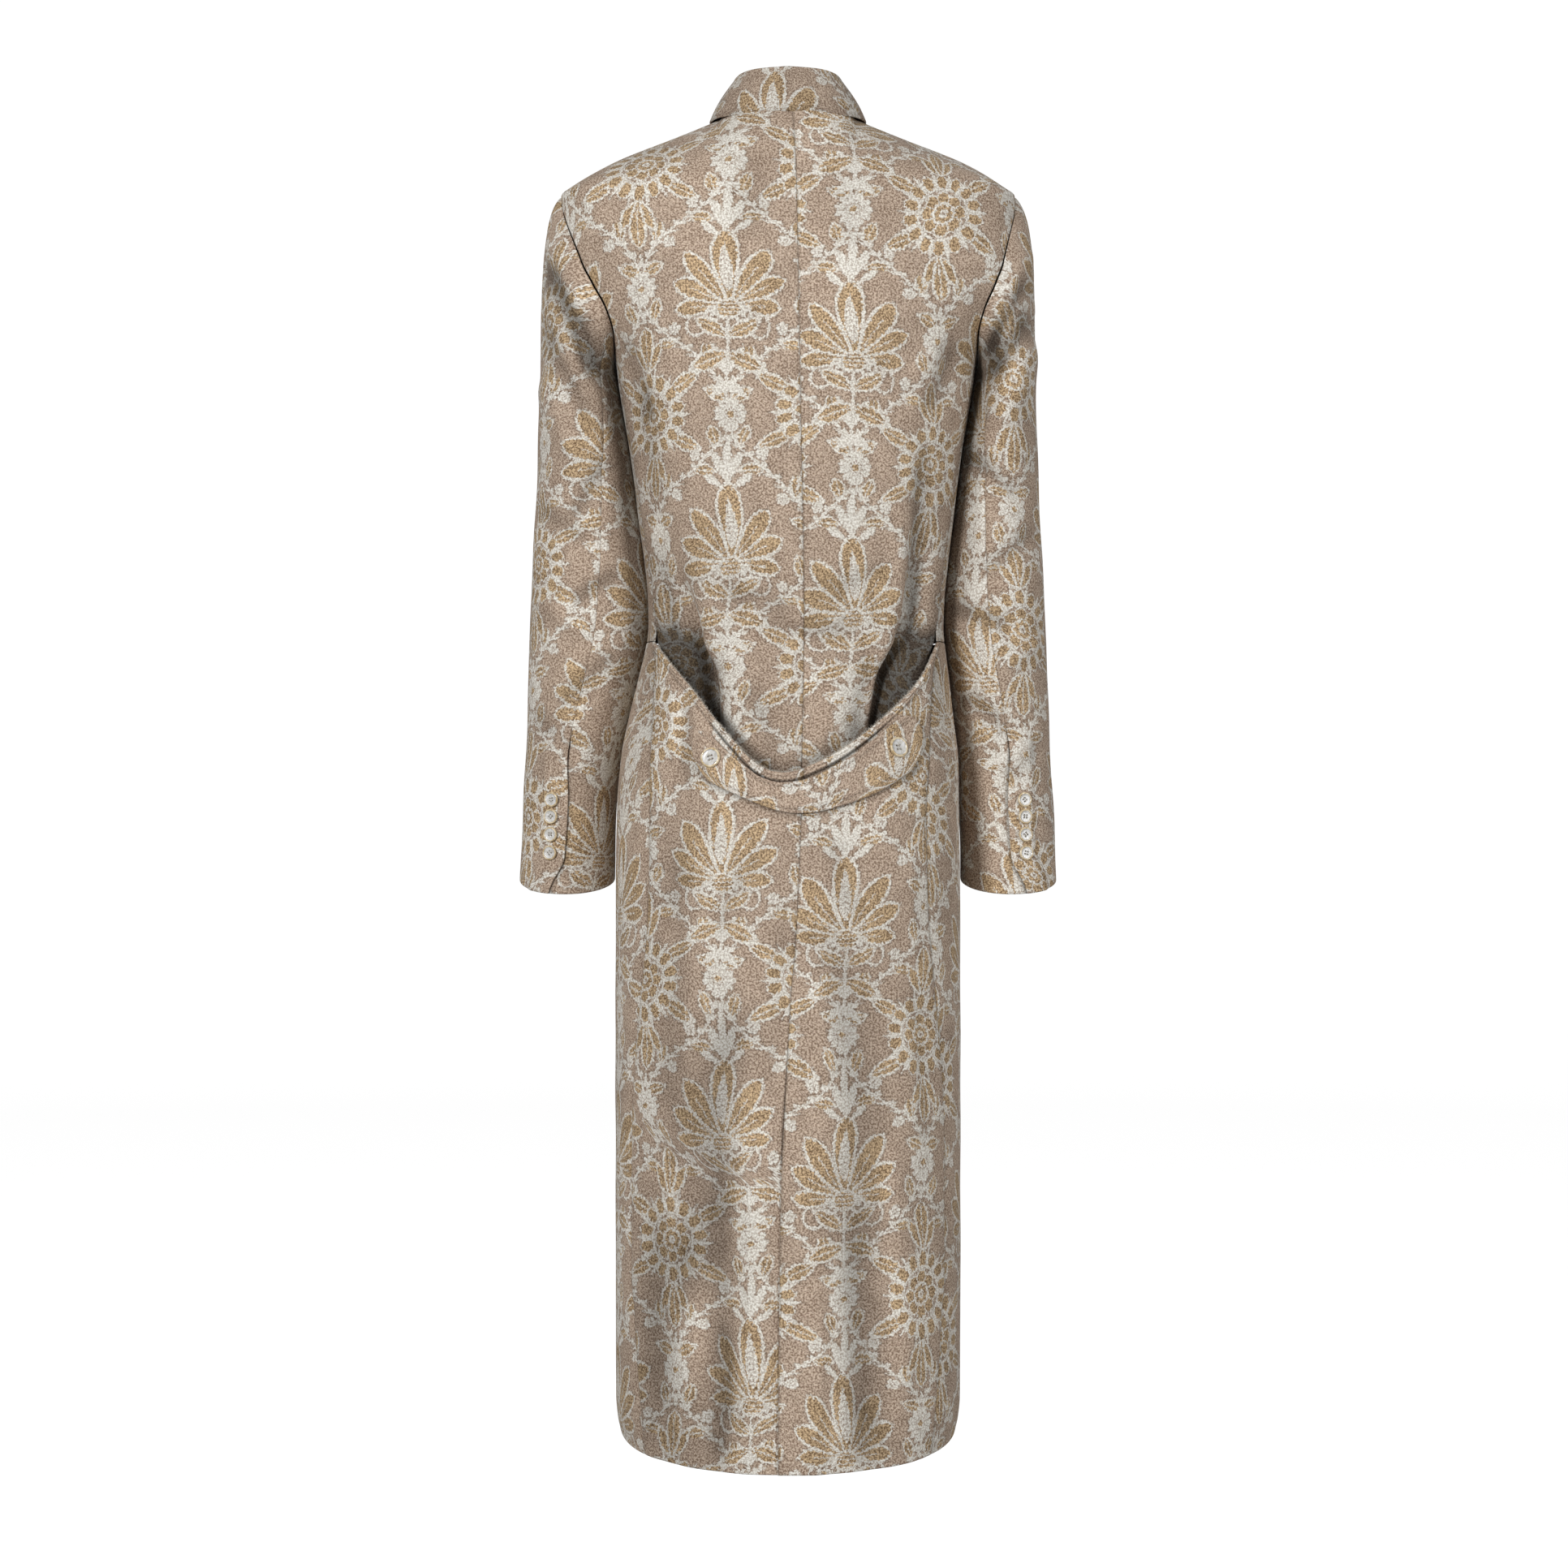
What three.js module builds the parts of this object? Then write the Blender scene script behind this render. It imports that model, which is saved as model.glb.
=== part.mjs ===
// Long tailored overcoat of woven wool, hollow, standing as on a general figure.
// Units are millimetres. +Z is up, the back faces +Y and the fronts face -Y.
// The origin is the middle of the neck opening, level with the top of the shoulders.
//
// Sizes are given as seen from behind: u grows to the wearer's right (-X), t grows
// towards the back (+Y) and z upwards. "side" is +1 on the wearer's right, -1 on the left.
import * as THREE from 'three';

// ---- driving sizes ---------------------------------------------------------
const CLOTH = 2.0;          // thickness of the wool cloth
const SEAM = 0.3;           // space left between two pieces at a seam
const WAIST_GAP = 0.45;     // from the front's waist seam to each cut edge
const SHOULDER_GAP = 0.75;  // from the shoulder seam to each cut edge, so that the thick walls clear
const LAP = 2.7;            // how far a lapping edge stands out from the one below
const ARM_TOP = -61;        // shoulder point
const SHOULDER_HALF = 200;  // half the shoulder width
const UNDERARM = -202;      // where the side seam starts
const CORNER = -457;        // where the skirt's free top edge meets the side seam
const TONGUE_END = -635;    // lower end of the upper back, behind the skirt
const NECK_HALF = 57;       // half the width of the neckline
const NECK_SIDE = { t: 4, z: 6.4 };
const NECK_BACK = { deep: 44, rise: 7.5 };
const NECK_FRONT = { deep: 70, drop: 45 };
const FRONT_LAP = 25;       // how far each front passes the middle
const VENT_TOP = -905;      // top of the skirt's vent
const VENT_LAP = 25;
const CUFF_LEVEL = -668, CUFF_TILT = 12, CAP_LEVEL = -235;
const BACK_POWER = 2.3, FRONT_POWER = 1.95, SHOULDER_POWER = 1.6;
const BUTTON = { belt: 18, cuff: 13.2, front: 20 };

// ---- tables ------------------------------------------------------------------
// Body sections: half width, sideways shift of the middle, depth behind and in front.
const BODY = [
  { z: -61, half: 200, shift: 0, back: 86, front: 80 },
  { z: -90, half: 200, shift: 1.5, back: 93.5, front: 92 },
  { z: -125, half: 198.4, shift: 4, back: 101, front: 104 },
  { z: -143, half: 192.8, shift: 5.2, back: 104, front: 108 },
  { z: -160, half: 184, shift: 6.2, back: 106.5, front: 112 },
  { z: -175, half: 173.6, shift: 6.7, back: 108.5, front: 114.5 },
  { z: -188, half: 164.7, shift: 7, back: 109.5, front: 116 },
  { z: -202, half: 160, shift: 7, back: 110, front: 118 },
  { z: -233, half: 155.5, shift: 7, back: 110.5, front: 121 },
  { z: -290, half: 146, shift: 7, back: 108, front: 118 },
  { z: -347, half: 138.5, shift: 7.3, back: 104, front: 108 },
  { z: -387, half: 133.3, shift: 7.5, back: 102, front: 102 },
  { z: -420, half: 130.2, shift: 7.5, back: 102, front: 99 },
  { z: -444, half: 129.6, shift: 7.3, back: 103, front: 98 },
  { z: -461, half: 131.5, shift: 6.8, back: 105, front: 99 },
  { z: -486, half: 136, shift: 5.2, back: 108.5, front: 102 },
  { z: -525, half: 143, shift: 3, back: 116, front: 109 },
  { z: -560, half: 148.5, shift: 1.5, back: 127, front: 117 },
  { z: -600, half: 150.5, shift: 0, back: 135, front: 124 },
  { z: -667, half: 151.4, shift: 0, back: 141, front: 129 },
  { z: -800, half: 151.6, shift: 0, back: 145, front: 134 },
  { z: -1000, half: 151.6, shift: 0, back: 148, front: 139 },
  { z: -1122, half: 151.2, shift: 0, back: 150, front: 142 },
  { z: -1140, half: 149.6, shift: 0, back: 150, front: 142 },
  { z: -1152, half: 147, shift: 0, back: 150, front: 142 },
  { z: -1175, half: 144, shift: 0, back: 150, front: 142 },
];
// Shoulder seam, from the neck point out to the shoulder point.
const SHOULDER = [
  { u: 57, z: 6.4, t: 4 }, { u: 81, z: -3.6, t: 3.4 }, { u: 103, z: -12.4, t: 2.7 }, { u: 133, z: -24, t: 1.8 },
  { u: 150, z: -31, t: 1.3 }, { u: 165, z: -38.4, t: 0.8 }, { u: 177, z: -45.4, t: 0.5 }, { u: 188, z: -52.6, t: 0.2 },
  { u: 200, z: -61, t: 0 },
];
// Armhole: depth of its edge on the back piece and on the front piece.
const ARMHOLE = [
  { z: -61, back: 0, front: 0 }, { z: -75, back: 14, front: -20 }, { z: -90, back: 27, front: -36 },
  { z: -107, back: 38, front: -48 }, { z: -125, back: 46, front: -55 }, { z: -143, back: 51, front: -58 },
  { z: -160, back: 53, front: -56 }, { z: -175, back: 48, front: -49 }, { z: -188, back: 36, front: -32 },
  { z: -197, back: 25, front: -8 }, { z: -202, back: 18, front: 18 },
];
// Side seam: its depth from the underarm to the skirt's corner, then its half distance from the middle.
const SEAM_UPPER = [
  { z: -202, t: 18 }, { z: -250, t: 20 }, { z: -320, t: 24 }, { z: -380, t: 28 }, { z: -420, t: 33 }, { z: -457, t: 40 },
];
const SEAM_LOWER = [
  { z: -457, u: 124.6 }, { z: -486, u: 121.6 }, { z: -525, u: 121 }, { z: -567, u: 121 }, { z: -606, u: 119.6 },
  { z: -690, u: 121 }, { z: -752, u: 126 }, { z: -817, u: 132.2 }, { z: -878, u: 135.4 }, { z: -1010, u: 135.8 },
  { z: -1037, u: 133.6 }, { z: -1085, u: 130.5 }, { z: -1120, u: 127.5 }, { z: -1160, u: 124 },
];
// Centre-back seam, as it wanders from the middle line.
const CENTRE_BACK = [
  { z: 14, u: 3.7 }, { z: -55, u: 7.2 }, { z: -160, u: 9.3 }, { z: -246, u: 10.7 }, { z: -346, u: 12.8 },
  { z: -444, u: 14.2 }, { z: -567, u: 13.5 }, { z: -608, u: 11.4 }, { z: -661, u: 9.3 }, { z: -727, u: 5.8 },
  { z: -764, u: 2.3 }, { z: -802, u: 0.2 }, { z: -865, u: -3.2 }, { z: -908, u: -5.3 }, { z: -1016, u: -7.3 },
  { z: -1170, u: -8.7 },
];
// Free top edge of the skirt, which droops below the upper back.
const DROOP = [
  { u: -117.4, z: -457 }, { u: -107, z: -471 }, { u: -95.5, z: -485 }, { u: -82, z: -501 }, { u: -60.3, z: -529 },
  { u: -42, z: -550 }, { u: -33.5, z: -559 }, { u: -23.7, z: -566.5 }, { u: -14, z: -570.7 }, { u: -3, z: -572 },
  { u: 6.6, z: -570.5 }, { u: 20, z: -565.5 }, { u: 39.5, z: -556 }, { u: 59.5, z: -543 }, { u: 91.8, z: -515.5 },
  { u: 105.5, z: -502 }, { u: 116.5, z: -488 }, { u: 122.5, z: -477 }, { u: 131.5, z: -457 },
];
// How far the upper back lies in from the body's section: at its middle, at its edge, and the hollow beside its fold.
const TUCK = [
  { z: -340, middle: 0, edge: 0, hollow: 0 }, { z: -385, middle: 5, edge: 0, hollow: 5 }, { z: -420, middle: 12, edge: 0, hollow: 15 },
  { z: -440, middle: 17, edge: 0.4, hollow: 21 }, { z: -457, middle: 22, edge: 3.4, hollow: 25 }, { z: -485, middle: 29, edge: 9, hollow: 25 },
  { z: -525, middle: 37, edge: 15, hollow: 19 }, { z: -567, middle: 46, edge: 21, hollow: 12 }, { z: -635, middle: 54, edge: 26, hollow: 6 },
];
const TONGUE_EDGE = [{ z: -457, u: 124.6 }, { z: -485, u: 118 }, { z: -525, u: 114 }, { z: -580, u: 111 }, { z: -635, u: 108 }];
// Half belt: its upper and lower edge, and its ends from the upper edge (0) to the lower (1).
const BELT_EDGES = [
  { u: -84, top: -523, low: -560 }, { u: -66, top: -539, low: -580 }, { u: -50, top: -555, low: -588.5 }, { u: -35, top: -567.5, low: -595 },
  { u: -20.7, top: -577, low: -601 }, { u: -6.3, top: -580.5, low: -605.5 }, { u: 6.6, top: -579.5, low: -607.2 }, { u: 21, top: -576, low: -606.5 },
  { u: 31, top: -571, low: -604.5 }, { u: 56.3, top: -555.5, low: -597 }, { u: 77, top: -539, low: -588.5 }, { u: 97, top: -523, low: -576 },
  { u: 118, top: -506, low: -560 },
];
const BELT_ENDS = [
  { r: 0, left: -66.5, right: 97 }, { r: 0.12, left: -74, right: 104.5 }, { r: 0.3, left: -80, right: 110.5 },
  { r: 0.6, left: -81.5, right: 114.5 }, { r: 0.85, left: -80, right: 111.5 }, { r: 1, left: -72.5, right: 104 },
];
// Sleeve sections below the cap: inner and outer half distance, forward lean, half depth, and the two seams' angles
// (0 outside, 90 behind, 180 against the body).
const SLEEVE = [
  { z: -235, inner: 160.4, outer: 219.7, lean: -14, deep: 66, rear: 133, fore: -124 },
  { z: -290, inner: 148.6, outer: 221.5, lean: -22, deep: 66, rear: 119, fore: -122 },
  { z: -346, inner: 139.6, outer: 224.5, lean: -27, deep: 64, rear: 108, fore: -120 },
  { z: -390, inner: 133.8, outer: 227, lean: -30, deep: 62, rear: 103, fore: -119 },
  { z: -444, inner: 130.2, outer: 229.5, lean: -32, deep: 60, rear: 97, fore: -118 },
  { z: -500, inner: 139.6, outer: 231.7, lean: -33, deep: 58, rear: 91, fore: -118 },
  { z: -555, inner: 149.4, outer: 234, lean: -33, deep: 54, rear: 86, fore: -118 },
  { z: -600, inner: 153.4, outer: 236.2, lean: -33, deep: 51, rear: 91, fore: -118 },
  { z: -640, inner: 154.8, outer: 238, lean: -33, deep: 50, rear: 89, fore: -118 },
  { z: -660, inner: 155.2, outer: 238.8, lean: -33, deep: 50, rear: 75, fore: -118 },
  { z: -680, inner: 155.4, outer: 239.4, lean: -33, deep: 50, rear: 66, fore: -118 },
];
const CUFF_VENT = { top: -560, under: 17, full: 24, wide: 36 };
// Collar: fold line and edge of the fall, by angle round the neck (0 behind, 180 in front).
const COLLAR = [
  { a: 0, foldU: 0, foldT: 42, foldZ: 45, edgeU: 0, edgeT: 66, edgeZ: 5.5 },
  { a: 35, foldU: 27, foldT: 34, foldZ: 44, edgeU: 42, edgeT: 54, edgeZ: 4.5 },
  { a: 65, foldU: 42.5, foldT: 16, foldZ: 41.5, edgeU: 64.5, edgeT: 28, edgeZ: 5 },
  { a: 90, foldU: 46, foldT: -1, foldZ: 38, edgeU: 69.8, edgeT: 0, edgeZ: 5.4 },
  { a: 115, foldU: 43, foldT: -25, foldZ: 28, edgeU: 69, edgeT: -38, edgeZ: -10 },
  { a: 140, foldU: 32, foldT: -46, foldZ: 12, edgeU: 57, edgeT: -70, edgeZ: -33 },
  { a: 160, foldU: 18, foldT: -58, foldZ: -1, edgeU: 38, edgeT: -84, edgeZ: -50 },
  { a: 176, foldU: 4.5, foldT: -62, foldZ: -8, edgeU: 17, edgeT: -88, edgeZ: -58 },
];
// Largest folds: a soft trough (depth below 0) or ridge from one point to another, seen from behind.
const SKIRT_FOLDS = [
  { u0: -22, z0: -900, u1: -34, z1: -1165, wide: 15, deep: 5.5 },
  { u0: -46, z0: -770, u1: -88, z1: -1030, wide: 24, deep: -4.5 },
  { u0: 44, z0: -700, u1: 70, z1: -1010, wide: 26, deep: -3.5 },
  { u0: -100, z0: -620, u1: -104, z1: -900, wide: 18, deep: -3 },
];
const SLEEVE_FOLDS = [
  { side: -1, u0: 214, z0: -118, u1: 166, z1: -226, wide: 11, deep: -5.5 },
  { side: -1, u0: 196, z0: -108, u1: 176, z1: -170, wide: 12, deep: 3.5 },
  { side: 1, u0: 206, z0: -136, u1: 172, z1: -205, wide: 10, deep: -5 },
  { side: 1, u0: 212, z0: -168, u1: 178, z1: -228, wide: 10, deep: -3.5 },
];

// ---- small helpers --------------------------------------------------------------
const rad = Math.PI / 180;
const mix = (a, b, k) => a + (b - a) * k;
const clamp = (v, lo, hi) => Math.min(hi, Math.max(lo, v));
const smooth = (lo, hi, v) => { const k = clamp((v - lo) / (hi - lo), 0, 1); return k * k * (3 - 2 * k); };

// A smooth curve through one column of a table, which never passes beyond its rows.
function column(rows, key, name) {
  const sorted = [...rows].sort((p, q) => p[key] - q[key]);
  const x = sorted.map((r) => r[key]), y = sorted.map((r) => r[name]), n = x.length;
  const h = [], d = [], m = new Array(n).fill(0);
  for (let i = 0; i < n - 1; i++) { h.push(x[i + 1] - x[i]); d.push((y[i + 1] - y[i]) / h[i]); }
  for (let i = 1; i < n - 1; i++) {
    if (d[i - 1] * d[i] > 0) {
      const a = 2 * h[i] + h[i - 1], b = h[i] + 2 * h[i - 1];
      m[i] = (a + b) / (a / d[i - 1] + b / d[i]);
    }
  }
  m[0] = d[0]; m[n - 1] = d[n - 2];
  return (v) => {
    const c = clamp(v, x[0], x[n - 1]);
    let i = 0;
    while (i < n - 2 && c > x[i + 1]) i++;
    const k = (c - x[i]) / h[i], k2 = k * k, k3 = k2 * k;
    return (2 * k3 - 3 * k2 + 1) * y[i] + (k3 - 2 * k2 + k) * h[i] * m[i] + (3 * k2 - 2 * k3) * y[i + 1] + (k3 - k2) * h[i] * m[i + 1];
  };
}

const half = column(BODY, 'z', 'half'), shift = column(BODY, 'z', 'shift');
const backDepth = column(BODY, 'z', 'back'), frontDepth = column(BODY, 'z', 'front');
const shoulderZ = column(SHOULDER, 'u', 'z'), shoulderT = column(SHOULDER, 'u', 't');
const armBack = column(ARMHOLE, 'z', 'back'), armFront = column(ARMHOLE, 'z', 'front');
const seamT = column(SEAM_UPPER, 'z', 't'), seamU = column(SEAM_LOWER, 'z', 'u');
const centreBack = column(CENTRE_BACK, 'z', 'u'), droop = column(DROOP, 'u', 'z');
const tuckMiddle = column(TUCK, 'z', 'middle'), tuckEdge = column(TUCK, 'z', 'edge'), tuckHollow = column(TUCK, 'z', 'hollow');
const tongueEdge = column(TONGUE_EDGE, 'z', 'u');

// Soft troughs and ridges at a point seen from behind.
function foldDepth(rows, u, z) {
  let sum = 0;
  for (const f of rows) {
    const du = f.u1 - f.u0, dz = f.z1 - f.z0, length = Math.hypot(du, dz);
    const along = ((u - f.u0) * du + (z - f.z0) * dz) / (length * length);
    const across = ((u - f.u0) * dz - (z - f.z0) * du) / length;
    const taper = smooth(-0.12, 0.18, along) * smooth(1.12, 0.8, along);
    sum += f.deep * taper * Math.exp(-((across / f.wide) ** 2));
  }
  return sum;
}

// ---- body surface -----------------------------------------------------------------
// Half distance from the middle of the body's section, at depth t.
function widthAt(t, z) {
  const [deep, power] = t >= 0 ? [backDepth(z), BACK_POWER] : [frontDepth(z), FRONT_POWER];
  return half(z) * (1 - Math.min(1, Math.abs(t) / deep) ** power) ** (1 / power);
}
function depthAt(u, z) {
  return backDepth(z) * (1 - Math.min(1, Math.abs(u) / half(z)) ** BACK_POWER) ** (1 / BACK_POWER);
}
// Point of the section at an angle from the middle of the back, moved out by "out".
function section(angle, z, out = 0) {
  const level = Math.min(z, ARM_TOP), s = Math.sin(angle), c = Math.cos(angle);
  const [deep, power] = c >= 0 ? [backDepth(level), BACK_POWER] : [frontDepth(level), FRONT_POWER];
  const wide = half(level);
  const r = ((Math.abs(s) / wide) ** power + (Math.abs(c) / deep) ** power) ** (-1 / power);
  let u = r * s, t = r * c, height = z;
  if (z > ARM_TOP) {
    // Above the shoulder point the surface rounds in to the shoulder seam or the neckline.
    const { top, topT } = topAt(u, c >= 0);
    const q = clamp((z - ARM_TOP) / (top - ARM_TOP), 0, 1);
    t = topT + (t - topT) * (1 - q ** SHOULDER_POWER) ** (1 / SHOULDER_POWER);
  }
  let nu = Math.sign(s) * Math.abs(r * s) ** (power - 1) / wide ** power;
  let nt = Math.sign(c) * Math.abs(r * c) ** (power - 1) / deep ** power;
  const size = Math.hypot(nu, nt);
  return new THREE.Vector3(u + shift(level) + (out * nu) / size, t + (out * nt) / size, height);
}
// Height and depth of the neckline or the shoulder seam above the point u.
function topAt(u, behind) {
  const wide = Math.abs(u);
  if (wide >= NECK_HALF) return { top: shoulderZ(wide), topT: shoulderT(wide) };
  const k = Math.sqrt(1 - (wide / NECK_HALF) ** 2);
  return behind
    ? { top: NECK_SIDE.z + NECK_BACK.rise * k, topT: NECK_SIDE.t + NECK_BACK.deep * k }
    : { top: NECK_SIDE.z - NECK_FRONT.drop * k, topT: NECK_SIDE.t - NECK_FRONT.deep * k };
}
// Angle of the side seam, and of each piece's armhole edge above it.
function seamAngle(z) {
  if (z > CORNER) { const t = seamT(z); return Math.atan2(widthAt(t, z), t); }
  const u = seamU(z); return Math.atan2(u, depthAt(u, z));
}
function backEdge(z) {
  if (z < UNDERARM) return seamAngle(z);
  const level = Math.min(z, ARM_TOP), t = armBack(level); return Math.atan2(widthAt(t, level), t);
}
// A share s of the way from a start angle to an edge, where only the outer columns follow the armhole's curve.
function towards(start, edge, z, s) {
  const calm = z < UNDERARM ? edge : Math.PI / 2;
  return mix(start, calm, s) + (edge - calm) * smooth(0.5, 1, s);
}
function frontEdge(z) {
  if (z < UNDERARM) return seamAngle(z);
  const level = Math.min(z, ARM_TOP), t = armFront(level); return Math.atan2(widthAt(t, level), t);
}
const centreAngle = (z) => Math.atan2(centreBack(z) - shift(Math.min(z, ARM_TOP)), backDepth(Math.min(z, ARM_TOP)));
function hemLevel(t) { return t > 0 ? -1150 - 19.6 * (t / 150) : -1150 + 3 * (-t / 142); }

// ---- one sheet of cloth as a closed solid ----------------------------------------
// at(i, j) gives the middle of the cloth on a grid; the wall is laid half to each side.
function clothSolid(columns, rows, at, thick = CLOTH) {
  const mid = [], count = columns * rows, id = (i, j) => j * columns + i;
  for (let j = 0; j < rows; j++) for (let i = 0; i < columns; i++) mid.push(at(i, j));
  const outer = [], inner = [];
  for (let j = 0; j < rows; j++) {
    for (let i = 0; i < columns; i++) {
      const along = mid[id(Math.min(i + 1, columns - 1), j)].clone().sub(mid[id(Math.max(i - 1, 0), j)]);
      const down = mid[id(i, Math.min(j + 1, rows - 1))].clone().sub(mid[id(i, Math.max(j - 1, 0))]);
      const normal = along.cross(down).normalize().multiplyScalar(thick / 2);
      outer.push(mid[id(i, j)].clone().add(normal));
      inner.push(mid[id(i, j)].clone().sub(normal));
    }
  }
  const index = [], quad = (a, b, c, d) => index.push(a, b, c, a, c, d);
  for (let j = 0; j < rows - 1; j++) {
    for (let i = 0; i < columns - 1; i++) {
      quad(id(i, j), id(i + 1, j), id(i + 1, j + 1), id(i, j + 1));
      quad(count + id(i, j), count + id(i, j + 1), count + id(i + 1, j + 1), count + id(i + 1, j));
    }
  }
  const edge = [];
  for (let i = 0; i < columns - 1; i++) edge.push([id(i, 0), id(i + 1, 0)]);
  for (let j = 0; j < rows - 1; j++) edge.push([id(columns - 1, j), id(columns - 1, j + 1)]);
  for (let i = columns - 1; i > 0; i--) edge.push([id(i, rows - 1), id(i - 1, rows - 1)]);
  for (let j = rows - 1; j > 0; j--) edge.push([id(0, j), id(0, j - 1)]);
  for (const [a, b] of edge) quad(b, a, count + a, count + b);
  return solidFrom([...outer, ...inner], index);
}
// Turns points seen from behind into the coat's own axes, with every face outwards.
function solidFrom(points, index) {
  const place = new Float32Array(points.length * 3);
  points.forEach((p, k) => { place[3 * k] = -p.x; place[3 * k + 1] = p.y; place[3 * k + 2] = p.z; });
  let volume = 0;
  const at = (k) => new THREE.Vector3(place[3 * k], place[3 * k + 1], place[3 * k + 2]);
  for (let k = 0; k < index.length; k += 3) volume += at(index[k]).dot(at(index[k + 1]).cross(at(index[k + 2])));
  if (volume < 0) for (let k = 0; k < index.length; k += 3) [index[k + 1], index[k + 2]] = [index[k + 2], index[k + 1]];
  const geometry = new THREE.BufferGeometry();
  geometry.setAttribute('position', new THREE.BufferAttribute(place, 3));
  geometry.setIndex(index);
  geometry.computeVertexNormals();
  return geometry;
}

const coat = new THREE.Group();
const WOOL = { color: 0xa8967f, roughness: 0.9, metalness: 0.0 };
const PEARL = { color: 0xd9d6cc, roughness: 0.3, metalness: 0.0 };
function add(name, geometry, finish) {
  const mesh = new THREE.Mesh(geometry, new THREE.MeshStandardMaterial(finish));
  mesh.name = name;
  coat.add(mesh);
  return mesh;
}
const word = (side) => (side > 0 ? 'right' : 'left');
const TRIM = 0.0011;  // share of a panel's width that half a seam's clearance takes
const across = (i, columns) => mix(TRIM, 1 - TRIM, i / (columns - 1));

// ---- levels of the side edge, shared by the pieces that meet there ----------------
const LEVELS = [-61, -74, -92, -116, -145, -172, -188, -202, -240, -290, -340, -390, -425, -457,
  -484, -512, -542, -575, -610, -660, -730, -810, -900, -1000, -1080, -1125];
const SKIRT_LEVELS = LEVELS.filter((z) => z <= CORNER);
const BACK_LEVELS = [...LEVELS.filter((z) => z >= -545), -590, TONGUE_END];

// Row heights of one column: the side edge's levels spread between the column's own ends.
function spread(levels, j, top, bottom, edgeBottom) {
  const share = (levels[0] - (levels[j] ?? edgeBottom)) / (levels[0] - edgeBottom);
  return mix(top, bottom, share);
}
const topOf = (angle, behind) => {
  const base = section(angle, ARM_TOP);
  return topAt(base.x - shift(ARM_TOP), behind).top;
};

// ---- upper back --------------------------------------------------------------------
function upperBackAngle(side, s, z) {
  const edge = z > CORNER ? backEdge(z) : Math.atan2(tongueEdge(z), depthAt(tongueEdge(z), z));
  return side * towards(side * centreAngle(z), edge, z, s);
}
function upperBackPoint(side, s, z) {
  const angle = upperBackAngle(side, s, z);
  const dip = z > -340 ? 0
    : tuckMiddle(z) * (1 - s ** 4) + tuckEdge(z) * s ** 4 + tuckHollow(z) * Math.exp(-(((s - 0.79) / 0.08) ** 2));
  const p = section(angle, z);
  return z > -340 ? p : section(angle, z, -dip);
}
for (const side of [-1, 1]) {
  const columns = 11, rows = BACK_LEVELS.length;
  add(`upper_back_${word(side)}`, clothSolid(columns, rows, (i, j) => {
    const s = across(i, columns);
    // the centre seam leans, so each column's top is found at its own height, where it meets the shoulder seam
    let top = 0;
    for (let k = 0; k < 12; k++) top = topOf(upperBackAngle(side, s, top), true);
    const p = upperBackPoint(side, s, spread(BACK_LEVELS, j, top, TONGUE_END, TONGUE_END));
    if (j === 0) p.y += SHOULDER_GAP;
    return p;
  }), WOOL);
}

// ---- skirt back ----------------------------------------------------------------------
function skirtAngle(side, s, z) {
  let start = centreAngle(z);
  if (side < 0) start += (VENT_LAP / backDepth(z)) * smooth(VENT_TOP, VENT_TOP - 22, z);
  return mix(start, side * seamAngle(z), s);
}
function skirtPoint(side, s, z) {
  const angle = skirtAngle(side, s, z);
  const base = section(angle, z);
  const fromMiddle = base.x - centreBack(z);
  const lift = side > 0 ? LAP * smooth(VENT_LAP + 21, VENT_LAP + 7, fromMiddle) * smooth(VENT_TOP + 110, VENT_TOP + 38, z) : 0;
  return section(angle, z, lift + foldDepth(SKIRT_FOLDS, base.x, z) * smooth(1, 0.8, s));
}
function droopAt(side, s) {
  if (s > 0.99) return CORNER;
  let z = -520;
  for (let k = 0; k < 40; k++) z = mix(z, droop(section(skirtAngle(side, s, z), z).x), 0.5);
  return Math.min(z, CORNER);
}
function skirtHem(side, s) {
  let z = -1160;
  for (let k = 0; k < 6; k++) z = hemLevel(section(skirtAngle(side, s, z), z).y);
  return z;
}
for (const side of [-1, 1]) {
  const columns = 11, rows = SKIRT_LEVELS.length + 1, edgeHem = skirtHem(side, 1);
  add(`skirt_back_${word(side)}`, clothSolid(columns, rows, (i, j) => {
    const s = Math.min(across(i, columns), 1 - 3 * TRIM);
    return skirtPoint(side, s, spread(SKIRT_LEVELS, j, droopAt(side, s), skirtHem(side, s), edgeHem));
  }), WOOL);
}

// ---- fronts ------------------------------------------------------------------------------
// The lap takes up the first fifth of a front, out to a little past the middle, and its slope the next stretch.
function frontAngle(s, z) {
  const level = Math.min(z, ARM_TOP), deep = frontDepth(level);
  const at = (u) => Math.PI - Math.atan2(u, deep);
  if (s < 0.2) return mix(at(-FRONT_LAP), at(FRONT_LAP + 6), s / 0.2);
  if (s < 0.27) return mix(at(FRONT_LAP + 6), at(FRONT_LAP + 22), (s - 0.2) / 0.07);
  return towards(at(FRONT_LAP + 22), frontEdge(z), z, (s - 0.27) / 0.73);
}
function frontPoint(side, s, z) {
  const lift = side > 0 ? LAP * smooth(0.27, 0.2, s) : 0;
  const p = section(side * frontAngle(s, z), z, lift);
  p.z += 1.1 * lift * smooth(ARM_TOP, ARM_TOP + 12, z);
  return p;
}
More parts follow.
